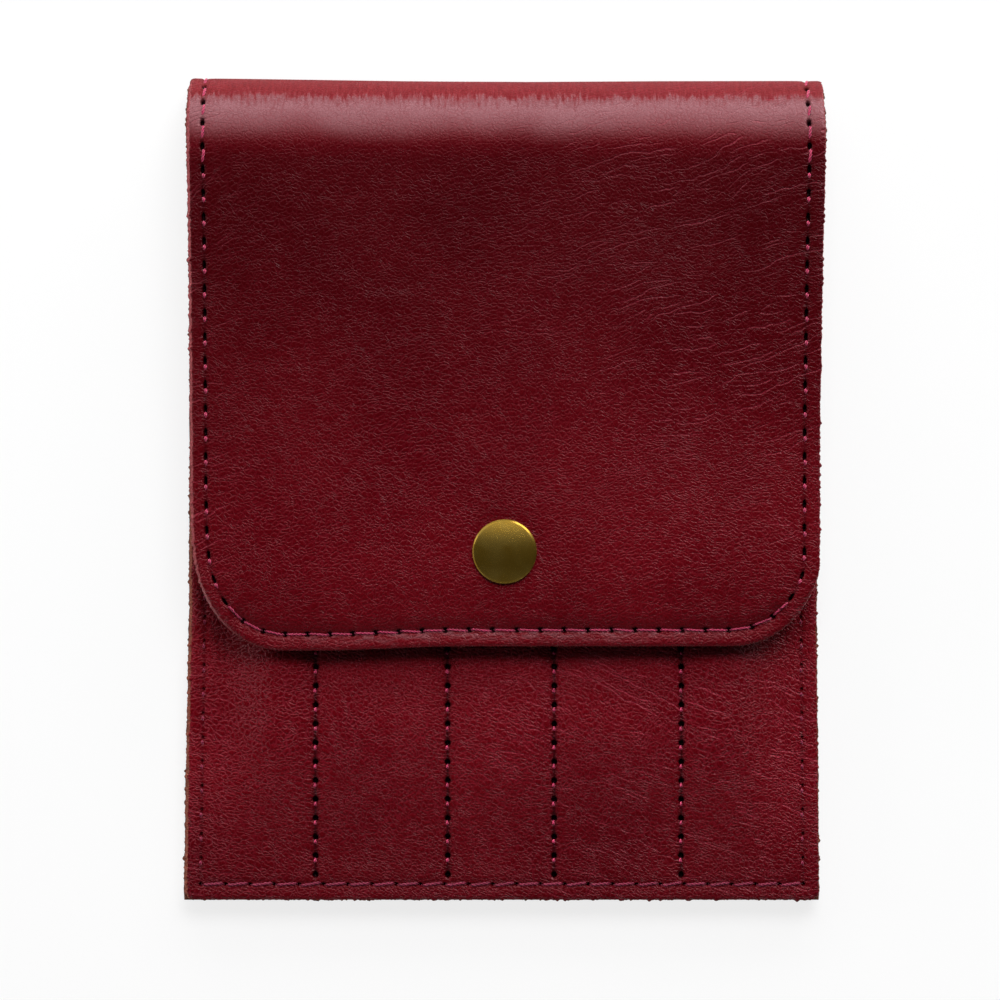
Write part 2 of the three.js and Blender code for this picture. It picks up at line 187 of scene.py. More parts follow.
def cut_place(u, v, d):
    """Points of the long cut that is back, fold and flap: u across it, v along its outside
    from the back's lower edge, d below its outside."""
    u, v, d = (np.asarray(a, float) for a in (u, v, d))
    turn = np.where(v < EASY_V, (v - FOLD_V) / TIGHT_R, TIGHT_TURN + (v - EASY_V) / EASY_R)
    turn = np.clip(turn, 0, math.pi)
    tight = turn <= TIGHT_TURN
    reach = np.where(tight, TIGHT_R, EASY_R) - d
    y = np.where(tight, TIGHT_C[0], EASY_C[0]) + reach * np.sin(turn)
    z = np.where(tight, TIGHT_C[1], EASY_C[1]) - reach * np.cos(turn)
    y = y + np.minimum(v - FOLD_V, 0) - np.maximum(v - FLAP_V, 0)
    sag = CORNER_SAG * ramp(v, *SAG_ALONG) * ramp(np.abs(u), *SAG_ACROSS)
    sag = sag + FLAP_DROOP * ramp(v, *DROOP_ALONG)
    wave = FLAP_WAVE * field(u, v, FLAP_WAVE_SIZE, 2.3) * ramp(v, *WAVE_ALONG)
    z = z - sag + wave * (1 - bell(np.hypot(u, y - SNAP_Y), SNAP_STIFF))
    over = smooth(turn / math.pi)
    x = sway(u, y, CASE_EDGES) * (1 - over) + sway(u, y, FLAP_EDGES) * over
    y = y + np.interp(u, *FOLD_LEAN) * np.sin(turn)
    y = y - FLAP_SKEW * ramp(v, *SKEW_ALONG) * ramp(-u, *SKEW_ACROSS)
    return np.stack([x, y, z], axis=-1)


def lining_place(u, v, e):
    """As cut_place, seen from inside: e is the depth below the lining's bare face."""
    return cut_place(u, v, INSIDE - np.asarray(e, float))


VALLEY, VALLEY_WIDTH = 0.4, 2.4
FRONT_WAVE, FRONT_WAVE_SIZE = 0.18, 26


def front_face(x, y):
    """The height of the front panel's outside."""
    side = smooth((HALF - SEWN_MARGIN - np.abs(x)) / SIDE_SLOPE)
    lower = smooth((y - LOWER_Y - SEWN_MARGIN) / LOWER_SLOPE)
    z = MARGIN_TOP + (FRONT_TOP - MARGIN_TOP) * side * lower
    for at in PLEATS:
        z = z - VALLEY * lower * bell(x - at, VALLEY_WIDTH)
    return z + FRONT_WAVE * field(x, y, FRONT_WAVE_SIZE, 9.1) * side * lower


def front_place(x, y, d):
    x, y, d = (np.asarray(a, float) for a in (x, y, d))
    return np.stack([sway(x, y, CASE_EDGES), y, front_face(x, y) - d], axis=-1)


# Meshes

def new_piece(name, verts, faces, material, attributes=None, sharp=50):
    """A mesh from points in millimetres, with smooth faces, sharp edges and named values."""
    mesh = bpy.data.meshes.new(name)
    mesh.from_pydata((np.asarray(verts) * MM).tolist(), [], faces)
    mesh.polygons.foreach_set("use_smooth", [True] * len(mesh.polygons))
    mesh.set_sharp_from_angle(angle=math.radians(sharp))
    for key, values in (attributes or {}).items():
        values = np.asarray(values, np.float32)
        kind, part = ("FLOAT_VECTOR", "vector") if values.ndim == 2 else ("FLOAT", "value")
        mesh.attributes.new(key, kind, "POINT").data.foreach_set(part, values.ravel())
    mesh.materials.append(material)
    piece = bpy.data.objects.new(name, mesh)
    bpy.context.scene.collection.objects.link(piece)
    return piece


def facing_out(verts, faces):
    """The faces, turned over if they enclose the body inside out."""
    volume = 0.0
    for f in faces:
        a = verts[f[0]]
        for i in range(1, len(f) - 1):
            volume += np.dot(a, np.cross(verts[f[i]], verts[f[i + 1]]))
    return faces if volume > 0 else [f[::-1] for f in faces]


def quads(rows, columns):
    """Faces over a grid of points that run row by row."""
    return [(a, a + 1, a + columns + 1, a + columns)
            for j in range(rows - 1) for a in range(j * columns, (j + 1) * columns - 1)]


class Scatter:
    """Points that keep their distance from each other."""

    CELL = 0.5

    def __init__(self):
        self.points = []
        self.bins = {}

    def add(self, x, y, gap):
        i, j = math.floor(x / self.CELL), math.floor(y / self.CELL)
        reach = math.ceil(gap / self.CELL)
        for a in range(i - reach, i + reach + 1):
            for b in range(j - reach, j + reach + 1):
                for p, q in self.bins.get((a, b), ()):
                    if (p - x) ** 2 + (q - y) ** 2 < gap * gap:
                        return
        self.bins.setdefault((i, j), []).append((x, y))
        self.points.append((x, y))


def inside(points, ring):
    """Which points lie inside a closed ring."""
    hit = np.zeros(len(points), bool)
    x, y = points[:, 0], points[:, 1]
    ax, ay = ring[-1]
    for bx, by in ring:
        if ay != by:
            across = (ay > y) != (by > y)
            hit ^= across & (x < (bx - ax) * (y - ay) / (by - ay) + ax)
        ax, ay = bx, by
    return hit


def triangles(points, ring_size):
    """Triangles over points whose first ring_size are the outline, in order."""
    edges = [(i, (i + 1) % ring_size) for i in range(ring_size)]
    made = delaunay_2d_cdt([Vector(p) for p in points], edges, [], 1, 1e-6)
    flat = np.array([(p.x, p.y) for p in made[0]])
    source = [o[0] if o else -1 for o in made[3]]
    return flat, [tuple(f) for f in made[2]], source


def border(faces):
    """The loop of points round a sheet of faces."""
    following = {}
    seen = set()
    for f in faces:
        for a, b in zip(f, f[1:] + f[:1]):
            seen.add((a, b))
    for a, b in seen:
        if (b, a) not in seen:
            following[a] = b
    loop = [min(following)]
    while True:
        step = following[loop[-1]]
        if step == loop[0]:
            return loop
        loop.append(step)


# A raw edge strays in wide waves, fine waves and spurs: waves to the millimetre and a seed
RAG_WAVES = ((0.3, 3.1), (2.6, 7.7), (1.3, 11.3))
RAG_WIDE, RAG_FINE, RAG_SPUR = 0.1, 0.16, 0.75
SPUR_LEVEL = 0.2


def rag(x, y):
    """How far a raw cut edge strays outwards at a place of the leather."""
    wide, fine, spur = (noise.noise(Vector((x * s, y * s, seed))) for s, seed in RAG_WAVES)
    return RAG_WIDE * wide + RAG_FINE * fine + RAG_SPUR * max(0.0, spur - SPUR_LEVEL)


RAW_STEP = 0.24
SEAM_STEP = 1.0
NEAR_STEP, NEAR_STEPS, NEAR_GAP = 0.25, 7, 0.002


def outline(half, v0, v1, r0=0.0, r1=0.0, raw0=True, raw1=True):
    """Points, outward directions and raw marks round a panel. A side that isn't raw joins a
    neighbour and has more points where the seam crosses it."""
    marks = []

    def run(a, b, way, is_raw, ends):
        count = max(2, round(math.dist(a, b) / (RAW_STEP if is_raw else SEAM_STEP)))
        shares = [i / count for i in range(count + 1)]
        if not is_raw:
            near = [SEAM_INSET + NEAR_STEP * k for k in range(-NEAR_STEPS, NEAR_STEPS + 1)]
            fine = [s / (2 * half) for s in near] + [1 - s / (2 * half) for s in near]
            shares = fine + [t for t in shares if min(abs(t - f) for f in fine) > NEAR_GAP]
        for t in sorted(shares):
            if ends or 0 < t < 1:
                marks.append((a[0] + (b[0] - a[0]) * t, a[1] + (b[1] - a[1]) * t, *way, is_raw))

    def corner(cx, cy, r, start):
        count = max(3, round(r * math.pi / 2 / RAW_STEP))
        for i in range(1, count if r else 1):
            turn = math.radians(start) + math.pi / 2 * i / count
            c, s = math.cos(turn), math.sin(turn)
            marks.append((cx + r * c, cy + r * s, c, s, True))

    run((r0 - half, v0), (half - r0, v0), (0, -1), raw0, r0 > 0)
    corner(half - r0, v0 + r0, r0, -90)
    run((half, v0 + r0), (half, v1 - r1), (1, 0), True, True)
    corner(half - r1, v1 - r1, r1, 0)
    run((half - r1, v1), (r1 - half, v1), (0, 1), raw1, r1 > 0)
    corner(r1 - half, v1 - r1, r1, 90)
    run((-half, v1 - r1), (-half, v0 + r0), (-1, 0), True, True)
    corner(r0 - half, v0 + r0, r0, 180)
    marks = np.array(marks, float)
    return marks[:, :2], marks[:, 2:4], marks[:, 4] > 0


EDGE_RINGS = (0.14, 0.4, 0.85)
EDGE_DROP = 0.3
EDGE_WIDTH = 0.8
LEAN_ROUND, LEAN_LEFT = 0.2, 0.8
DEEPEST = 0.85
RAW_NEAR = 0.3
WALL_LEVELS = (0.25, 0.6, 1.0)
WALL_WAVES, WALL_STRAY = 1.7, 0.18
# Least gaps between the points of a sheet. That of its grid is a share of the grid's cell
RING_GAP, JOIN_GAP, SPOT_GAP, BACK_GAP = 0.1, 0.05, 0.09, 0.9
GRID_GAP = 0.6
JOIN_INSET = 0.08


def tree(points):
    found = kdtree.KDTree(len(points))
    for i, p in enumerate(points):
        found.insert((p[0], p[1], 0), i)
    found.balance()
    return found


def face_points(ring, outward, raw, spots, cell):
    """The points of a sheet's bare face, with its outline first, and its columns and rows."""
    scatter = Scatter()
    for x, y in ring:
        scatter.add(x, y, 0)
    for inset in EDGE_RINGS:
        for i in np.flatnonzero(raw):
            scatter.add(*(ring[i] - outward[i] * inset), RING_GAP)
    low, high = ring.min(0), ring.max(0)
    for i in np.flatnonzero(~raw):
        if abs(ring[i][0]) < high[0] - 1:
            scatter.add(*(ring[i] - outward[i] * JOIN_INSET), JOIN_GAP)
    for x, y in spots:
        scatter.add(x, y, SPOT_GAP)
    columns = np.arange(low[0] + 0.5 * cell[0], high[0], cell[0])
    rows = np.arange(low[1] + 0.5 * cell[1], high[1], cell[1])
    grid = np.array([(x + (0.5 * cell[0] if j % 2 else 0), y)
                     for j, y in enumerate(rows) for x in columns])
    for x, y in grid[inside(grid, ring)]:
        scatter.add(x, y, GRID_GAP * min(cell))
    return scatter.points, columns, rows


def sheet(name, edge, place, thick, material, relief, spots, cell, flare=0.0, offset=(0, 0),
          neat=0.0):
    """A cut of leather with relief on its bare face, raw edges and a plain back. Its edges
    lean out, most on the left. Neat is how much smoother its ends are cut than its sides."""
    points, outward, raw = edge
    ring = points.copy()
    lean = flare * (LEAN_ROUND + LEAN_LEFT * np.maximum(-outward[:, 0], 0))
    for i in np.flatnonzero(raw):
        stray = rag(*(points[i] + offset)) * (1 - neat * abs(outward[i][1]))
        ring[i] += outward[i] * (stray - lean[i])
    dots, columns, rows = face_points(ring, outward, raw, spots, cell)
    flat, faces, _ = triangles(dots, len(ring))
    used = sorted({i for f in faces for i in f})
    slim = {old: new for new, old in enumerate(used)}
    flat = flat[used]
    faces = [tuple(slim[i] for i in f) for f in faces]
    loop = border(faces)

    # The bare face
    raw_tree = tree(ring[raw])
    gap = np.array([raw_tree.find((x, y, 0))[2] for x, y in flat])
    depth = EDGE_DROP * (thick / LEATHER) * np.clip(1 - gap / EDGE_WIDTH, 0, 1) ** 2
    more, dark = relief(flat[:, 0], flat[:, 1])
    depth = np.minimum(depth + more, DEEPEST * thick)

    # The walls. Each part has its places, depths, raw marks and the painted shade of its holes
    ring_tree = tree(ring)
    way, slope = np.zeros((len(loop), 2)), np.zeros(len(loop))
    for i, at in enumerate(loop):
        _, near, off = ring_tree.find((*flat[at], 0))
        if raw[near] and (off < RAW_NEAR or raw.all()):
            way[i], slope[i] = outward[near], lean[near]
    bare = 1 - neat * np.abs(way[:, 1])
    face_raw = np.zeros(len(flat))
    face_raw[loop] = bare * (np.abs(way).sum(1) > 0)
    parts = [(flat, depth, face_raw, dark)]
    start, previous = len(flat), list(loop)
    for level in WALL_LEVELS:
        stray = np.array([noise.noise(Vector((x * WALL_WAVES, y * WALL_WAVES, 5 + 9 * level)))
                          for x, y in flat[loop] + offset])
        out = slope * level + WALL_STRAY * stray * np.abs(way[:, 0])
        parts.append((flat[loop] + way * out[:, None],
                      depth[loop] + (thick - depth[loop]) * level, bare, np.zeros(len(loop))))
        current = list(range(start, start + len(loop)))
        faces += zip(previous, current, current[1:] + current[:1],
                     previous[1:] + previous[:1])
        previous = current
        start += len(loop)

    # The plain back
    last = parts[-1][0]
    under = Scatter()
    for x, y in last:
        under.add(x, y, 0)
    coarse = np.array([(x, y) for y in rows[::2] for x in columns[::2]])
    for x, y in coarse[inside(coarse, last)]:
        under.add(x, y, BACK_GAP)
    back, back_faces, source = triangles(under.points, len(loop))
    index, extra = {}, []
    for i, s in enumerate(source):
        if 0 <= s < len(loop):
            index[i] = previous[s]
        else:
            index[i] = start + len(extra)
            extra.append(back[i])
    faces += [tuple(index[i] for i in f[::-1]) for f in back_faces]
    if extra:
        parts.append((np.array(extra), np.full(len(extra), float(thick)),
                      np.ones(len(extra)), np.zeros(len(extra))))
    uv, d, raw_mix, painted_seam_shade = (np.concatenate(p) for p in zip(*parts))
    verts = place(uv[:, 0], uv[:, 1], d)
    values = {"cut": np.column_stack([uv + offset, d]), "raw": raw_mix, "painted_seam_shade": painted_seam_shade}
    return new_piece(name, verts, facing_out(verts, faces), material, values)


# Seams

# How a stitch lies. Hole: half sizes along and across the seam. Deep and shift: the hole's depth
# and how far it lies against the thread. Groove: a narrow and a wide depth. Dark: the painted
# shade in the groove and in the hole. Path: shares of the stitch and thread depths there.
Stitch = namedtuple("Stitch", "hole deep shift groove dark radius path tone slant",
                    defaults=(1.0, 0.1))
FLAT_PATH = ((0.08, 0.6), (0.12, 0.25), (0.17, 0.05), (0.25, 0.0), (0.5, 0.03), (0.75, 0.0),
             (0.83, 0.05), (0.88, 0.25), (0.92, 0.6))
DOT_PATH = ((0.05, 0.6), (0.075, 0.15), (0.1, 0.0), (0.14, 0.0), (0.18, 0.18), (0.24, 0.5),
            (0.3, 0.7))
DASH_PATH = ((0.04, 0.6), (0.07, 0.2), (0.11, -0.05), (0.24, -0.14), (0.42, -0.04), (0.52, 0.2),
             (0.6, 0.5), (0.66, 0.7))
SHORT_PATH = ((0.07, 0.55), (0.1, 0.2), (0.13, 0.12), (0.17, 0.2), (0.22, 0.5), (0.27, 0.7))
FAINT_PATH = ((0.05, 0.4), (0.075, 0.1), (0.1, -0.02), (0.14, -0.02), (0.18, 0.1), (0.23, 0.4),
              (0.3, 0.6))
FLUSH_PATH = ((0.03, 0.9), (0.08, 0.2), (0.14, -0.2), (0.5, -0.22), (0.86, -0.2), (0.92, 0.2),
              (0.97, 0.9))
SUEDE_PATH = ((0.03, 0.45), (0.08, 0.1), (0.14, -0.15), (0.5, -0.18), (0.86, -0.15), (0.92, 0.1),
              (0.97, 0.45))
SIDE = Stitch((0.88, 0.34), 1.15, 0.68, (0.12, 0.1), (0.35, 1.0), 0.3, DOT_PATH, 0.85)
OVER = Stitch((0.78, 0.42), 1.15, 0.55, (0.1, 0.06), (0.2, 1.0), 0.27, DASH_PATH, 0.85, 0.3)
LONG = Stitch((0.6, 0.52), 1.1, 0.0, (0.14, 0.52), (0.15, 0.95), 0.23, FLAT_PATH, 0.8)
POCKET = Stitch((0.62, 0.58), 1.2, 0.5, (0.2, 0.1), (0.75, 1.0), 0.32, SHORT_PATH, 1.15)
# The lower seam's thread has a low tone: painted shade on the slope
LOWER = Stitch((0.34, 0.28), 0.8, 0.0, (0.18, 0.12), (0.15, 0.5), 0.3, FLAT_PATH, 0.42, 0.2)
MARGIN = Stitch((0.36, 0.22), 0.5, 0.4, (0.14, 0.12), (0.3, 0.45), 0.24, FAINT_PATH, 0.55)
FLUSH = Stitch((0.4, 0.36), 1.0, 0.0, (0.55, 0.07), (0.1, 0.9), 0.27, FLUSH_PATH)
SUEDE_STITCH = Stitch((0.36, 0.32), 0.5, 0.0, (0.06, 0.06), (0.1, 0.9), 0.27, SUEDE_PATH)


SEAM_AHEAD = 0.2
LINE_STEP = 0.3
BACKWARDS = -0.3


class Seam:
    """Stitches along a line: where their holes are and how each one lies."""

    def __init__(self, line, pitch, style, down):
        line = np.asarray(line, float)
        run = lengths(line)
        end = run[-1]

        def places(at):
            return np.column_stack([np.interp(at, run, line[:, k]) for k in (0, 1)])

        at = np.linspace(0, end, max(1, round(end / pitch)) + 1)
        self.holes = places(at)
        way = unit(places(np.minimum(at + SEAM_AHEAD, end))
                   - places(np.maximum(at - SEAM_AHEAD, 0)))
        self.down = np.asarray(down, float)
        turn = np.where(way @ self.down < BACKWARDS, -1.0, 1.0)
        self.way = way * turn[:, None]
        self.styles = [style(*h) for h in self.holes]
        self.line = places(np.linspace(0, end, max(2, round(end / LINE_STEP))))
        self.line_styles = [style(*p) for p in self.line]
        self.pits = self.holes - self.way * np.array([s.shift for s in self.styles])[:, None]

    def stitches(self):
        for a, b in zip(self.holes, self.holes[1:]):
            if np.dot(b - a, self.down) < BACKWARDS * np.linalg.norm(b - a):
                a, b = b, a
            near = int(np.argmin(((self.line - (a + b) / 2) ** 2).sum(1)))
            yield a, b, self.line_styles[near]


# A hole's depth and its painted shade, out across its half sizes
PIT_SHAPE = ((0.0, 0.45, 0.82, 1.08, 1.5), (1.0, 0.95, 0.7, 0.12, 0.0))
PIT_SHADE = ((0.0, 0.82, 1.08, 1.5), (1.0, 1.0, 0.25, 0.0))
PIT_RINGS = ((0.45, 6), (0.82, 12), (1.08, 12), (1.5, 12))
PIT_REACH = 2.2
GROOVE_SPOTS = (0.0, -0.45, 0.45, -0.95, 0.95)
GROOVE_REACH, GROOVE_NARROW, GROOVE_WIDE, GROOVE_DARK = 4, 0.55, 1.5, 0.4


def seam_spots(seams):
    """Points that a sheet needs round its stitch holes and along its seams."""
    spots = []
    for seam in seams:
        for c, way, style in zip(seam.pits, seam.way, seam.styles):
            spots.append(tuple(c))
            across = np.array([-way[1], way[0]])
            for size, count in PIT_RINGS:
                for k in range(count):
                    turn = 2 * math.pi * (k + 0.5) / count
                    p = (c + way * style.hole[0] * size * math.cos(turn)
                         + across * style.hole[1] * size * math.sin(turn))
                    spots.append(tuple(p))
        step = unit(np.gradient(seam.line, axis=0))
        across = np.column_stack([-step[:, 1], step[:, 0]])
        for off in GROOVE_SPOTS:
            spots += [tuple(p) for p in (seam.line + across * off)[::2]]
    return spots


def seam_relief(seams):
    """The groove of seams, and their holes, with the painted shade in the holes and along the
    grooves.
    """
    line = np.concatenate([s.line for s in seams])
    line_styles = [style for s in seams for style in s.line_styles]
    pits = np.concatenate([s.pits for s in seams])
    ways = np.concatenate([s.way for s in seams])
    styles = [style for s in seams for style in s.styles]
    line_tree, pit_tree = tree(line), tree(pits)

    def groove(x, y):
        depth = np.zeros(len(x))
        for i, p in enumerate(zip(x, y)):
            _, near, off = line_tree.find((*p, 0))
            if off < GROOVE_REACH:
                narrow, wide = line_styles[near].groove
                depth[i] = narrow * bell(off, GROOVE_NARROW) + wide * bell(off, GROOVE_WIDE)
        return depth

    def holes(x, y):
        depth, dark = np.zeros(len(x)), np.zeros(len(x))
        for i, p in enumerate(zip(x, y)):
            _, near, off = line_tree.find((*p, 0))
            dark[i] = line_styles[near].dark[0] * bell(off, GROOVE_DARK)
            for _, near, off in pit_tree.find_range((*p, 0), PIT_REACH):
                style, way = styles[near], ways[near]
                r = np.array(p) - pits[near]
                along = (r @ way) / style.hole[0]
                across = (r[1] * way[0] - r[0] * way[1]) / style.hole[1]
                out = math.hypot(along, across)
                depth[i] = max(depth[i], style.deep * float(np.interp(out, *PIT_SHAPE)))
                dark[i] = max(dark[i], style.dark[1] * float(np.interp(out, *PIT_SHADE)))
        return depth, dark

    return groove, holes


class Batch:
    """Tubes that make up one piece of sewing."""

    def __init__(self):
        self.verts, self.faces, self.twine = [], [], []

    def tube(self, rings, twine):
        start, (count, sides) = len(self.verts), rings.shape[:2]
        self.verts += rings.reshape(-1, 3).tolist()
        self.twine += twine.reshape(-1, 3).tolist()
        for i in range(count - 1):
            for k in range(sides):
                n = (k + 1) % sides
                a, b = start + i * sides, start + (i + 1) * sides
                self.faces.append((a + k, a + n, b + n, b + k))
        self.faces.append(tuple(start + k for k in reversed(range(sides))))
        last = start + (count - 1) * sides
        self.faces.append(tuple(last + k for k in range(sides)))

    def piece(self, name, material):
        verts = np.array(self.verts)
        made = new_piece(name, verts, facing_out(verts, self.faces), material,
                         {"twine": np.array(self.twine)}, 80)
        return made


THREAD_SIDES = 9
PLIES = 3
PLY_DEPTH = 0.13
PLY_TURN = 2.6
STITCH_RINGS = 28


def round_rings(centre, up, radius, tone, sides=THREAD_SIDES, ply_depth=PLY_DEPTH):
    """Rings of a twisted thread along points, with up pointing away from the leather."""
    tangent = unit(np.gradient(centre, axis=0))
    side = unit(np.cross(tangent, up))
    top = np.cross(side, tangent)
    length = lengths(centre)
    turn = 2 * math.pi * np.arange(sides) / sides
    swell = 1 + ply_depth * np.cos(PLIES * turn[None, :] + PLIES * PLY_TURN * length[:, None])
    reach = radius * swell
    rings = (centre[:, None, :]
             + (reach * np.cos(turn))[..., None] * side[:, None, :]
             + (reach * np.sin(turn))[..., None] * top[:, None, :])
    twine = np.stack([np.repeat(length[:, None], sides, 1),
                      np.repeat(turn[None, :], len(centre), 0),
                      np.full((len(centre), sides), tone)], axis=-1)
    return rings, twine


STITCH_WOBBLE = 0.16
TONE_STRAY = 0.18
UP_STEP = 0.05
CLOSE = 1e-6


def sew(seam, place, surface, regions, seed):
    """The stitches of a seam, shared out over regions, each a low and a high value along and
    a batch."""
    edges = {e for r in regions for e in r[:2]}
    for number, (a, b, style) in enumerate(seam.stitches()):
        span = np.linalg.norm(b - a)
        knots = np.array(style.path)
        at = np.linspace(knots[0, 0], knots[-1, 0], STITCH_RINGS) * span
        depth = np.interp(at / span, knots[:, 0], knots[:, 1])
        depth[1:-1] = 0.25 * depth[:-2] + 0.5 * depth[1:-1] + 0.25 * depth[2:]
        way = (b - a) / span
        across = np.array([-way[1], way[0]])
        wobble = noise.noise(Vector((number * 1.7, seed, 0.5)))
        slant = (STITCH_WOBBLE * wobble + style.slant) * np.sin(np.pi * (at / span - 0.5))
        flat = a + way * at[:, None] + across * slant[:, None]
        flat, depth = cut_at(flat, depth, edges)
        u, v = flat.T
        depth = surface(u, v) + depth
        centre = place(u, v, depth)
        up = unit(place(u, v, depth - UP_STEP) - place(u, v, depth + UP_STEP))
        tone = style.tone * (1 + TONE_STRAY * noise.noise(Vector((number * 2.3, seed, 4.5))))
        rings, twine = round_rings(centre, up, style.radius, tone)
        for low, high, batch in regions:
            rows = np.flatnonzero((v >= low - CLOSE) & (v <= high + CLOSE))
            for part in np.split(rows, np.flatnonzero(np.diff(rows) > 1) + 1):
                if len(part) > 1:
                    batch.tube(rings[part], twine[part])


def cut_at(flat, depth, edges):
    """A line with points put in where it crosses the given values along."""
    line = np.column_stack([flat, depth])
    rows = [line[0]]
    for before, after in zip(line, line[1:]):
        a, b = before[1], after[1]
        shares = sorted((e - a) / (b - a) for e in edges
                        if min(a, b) + 10 * CLOSE < e < max(a, b) - 10 * CLOSE)
        rows += [before + (after - before) * t for t in shares] + [after]
    rows = np.array(rows)
    return rows[:, :2], rows[:, 2]


CORNER_STEPS = 24


def turned_line(x, low, corner, top):
    """A line along one side, round two corners at its end and back along the other side."""
    turns = [math.pi / 2 * k / CORNER_STEPS for k in range(1, CORNER_STEPS)]
    half = [(-x, top), (-x, low - corner)]
    half += [(corner * (1 - math.cos(t)) - x, low - corner * (1 - math.sin(t))) for t in turns]
    half += [(corner - x, low)]
    return half + [(-u, v) for u, v in reversed(half)]


# Materials

def linear(*rgb):
    """A colour written in sRGB, 0 to 255."""
    return tuple((c / 255 / 12.92) if c <= 10 else ((c / 255 + 0.055) / 1.055) ** 2.4
                 for c in rgb) + (1.0,)


class Value:
    """An output of a node, which can be added, multiplied and so on."""

    def __init__(self, look, socket):
        self.look, self.socket = look, socket

    def __add__(self, other):
        return self.look.math("ADD", self, other)

    def __sub__(self, other):
        return self.look.math("SUBTRACT", self, other)

    def __mul__(self, other):
        return self.look.math("MULTIPLY", self, other)

    def __truediv__(self, other):
        return self.look.math("DIVIDE", self, other)

    def __abs__(self):
        return self.look.math("ABSOLUTE", self)


class Look:
    """A material, its nodes and short ways to link them."""

    def __init__(self, name):
        self.material = bpy.data.materials.new(name)
        self.material.use_nodes = True
        self.tree = self.material.node_tree
        self.shader = self.tree.nodes["Principled BSDF"]

    def put(self, socket, value):
        if isinstance(value, Value):
            self.tree.links.new(value.socket, socket)
        else:
            socket.default_value = value

    def set(self, **values):
        for key, value in values.items():
            self.put(self.shader.inputs[key.replace("_", " ")], value)

    def node(self, kind, inputs=None, output=0, **settings):
        """An output of a new node, by its number or its name."""
        made = self.tree.nodes.new("ShaderNode" + kind)
        for key, value in settings.items():
            setattr(made, key, value)
        for key, value in (inputs or {}).items():
            self.put(made.inputs[key], value)
        return Value(self, made.outputs[output])

    def math(self, operation, *values):
        return self.node("Math", dict(enumerate(values)), operation=operation)

    def most(self, a, b):
        return self.math("MAXIMUM", a, b)

    def vector(self, operation, inputs, output=0):
        return self.node("VectorMath", inputs, output, operation=operation)

    def parts(self, vector):
        """The three numbers of a vector."""
        made = self.node("SeparateXYZ", {0: vector}).socket.node
        return [Value(self, socket) for socket in made.outputs]

    def grey(self, value):
        return self.node("CombineXYZ", {0: value, 1: value, 2: value})

    def mix(self, share, a, b, blend="MIX"):
        return self.node("Mix", {0: share, 6: a, 7: b}, 2, data_type="RGBA", blend_type=blend)

    def spread(self, value, low, high, to_low=0.0, to_high=1.0):
        return self.node("MapRange", {"Value": value, "From Min": low, "From Max": high,
                                      "To Min": to_low, "To Max": to_high},
                         interpolation_type="SMOOTHSTEP")

    def attribute(self, name, output="Fac"):
        return self.node("Attribute", None, output, attribute_name=name,
                         attribute_type="GEOMETRY")

    def scaled(self, vector, scale, turn=0.0):
        """Texture places stretched along a line that is turned from the first axis."""
        return self.node("Mapping", {"Vector": vector, "Scale": [1 / s for s in scale],
                                     "Rotation": (0, 0, math.radians(turn))},
                         vector_type="TEXTURE")

    def noise(self, vector, scale, detail=2.0, roughness=0.5, flat=True, output="Fac"):
        return self.node("TexNoise", {"Vector": vector, "Scale": scale, "Detail": detail,
                                      "Roughness": roughness}, output,
                         noise_dimensions="2D" if flat else "3D")

    def strayed(self, vector, scale, amount):
        """Texture places that stray a little, so that lines wander."""
        colour = self.noise(vector, scale, output="Color")
        stray = self.vector("SUBTRACT", {0: colour, 1: (0.5, 0.5, 0.5)})
        stray = self.vector("SCALE", {0: stray, "Scale": amount})
        return self.vector("ADD", {0: vector, 1: stray})

    def cells(self, vector):
        """How far places are from the edges of cells of about one."""
        return self.node("TexVoronoi", {"Vector": vector, "Scale": 1.0}, "Distance",
                         feature="DISTANCE_TO_EDGE", voronoi_dimensions="2D")

    def bump(self, height):
        """Raises the surface by a height in millimetres."""
        self.set(Normal=self.node("Bump", {"Height": height, "Distance": MM, "Strength": 1.0}))


BURGUNDY_DARK = linear(84, 3, 11)
BURGUNDY = linear(95, 7, 16)
PAINTED_GLINT = linear(136, 36, 52)
BURGUNDY_WORN = linear(96, 8, 12)
BURGUNDY_RUBBED = linear(100, 24, 26)
BURGUNDY_STREAK = linear(130, 38, 40)
PAINTED_SHEEN = linear(119, 76, 81)
HOLE_SHADE = linear(10, 1, 2)
SPECULAR_TINT = (1.0, 0.6, 0.64, 1)
WORN_END = strip_v(138)
SHEEN_BAND_V = FLAP_V - 7

# Sizes of the grain, of the ridge's streaks and of the patches of the margin's painted
# highlight, in waves to the millimetre, and heights in millimetres
PEBBLES = (0.9, 1.4, 1.0)
CREASES = (0.035, 0.17, 1.0)
STREAKS = (1.5, 0.3, 1.0)
HIGHLIGHT_PATCHES = (0.3, 1.0, 1.0)
PEBBLE_RISE = 0.3
PORE_RISE = 0.016
FIBRE_RISE = 0.3
CREASE_DROP = -0.085
CREASE_STEP = 0.25
CREASE_HALF = 0.22
CREASE_LEVELS = 0.07
CREASE_FLAT = 0.03
RAG_STREAK, RAG_WAVE = 7.0, 2.0
RAG_MEAN = (RAG_STREAK + RAG_WAVE) / 2


def pebbles(look, cut, drift, lay):
    """Grain: pebbles wider than long, with thin valleys between them."""
    wander = look.strayed(look.strayed(drift, 0.6, 1.3), 1.6, 0.4)
    edge = look.cells(look.scaled(wander, PEBBLES, lay))
    strong = look.spread(look.noise(cut, 0.32), 0.3, 0.65, 0.5, 1.0)
    return look.spread(edge, 0.0, 0.26, 1.0, 0.0) * strong, look.spread(edge, 0.0, 0.5)


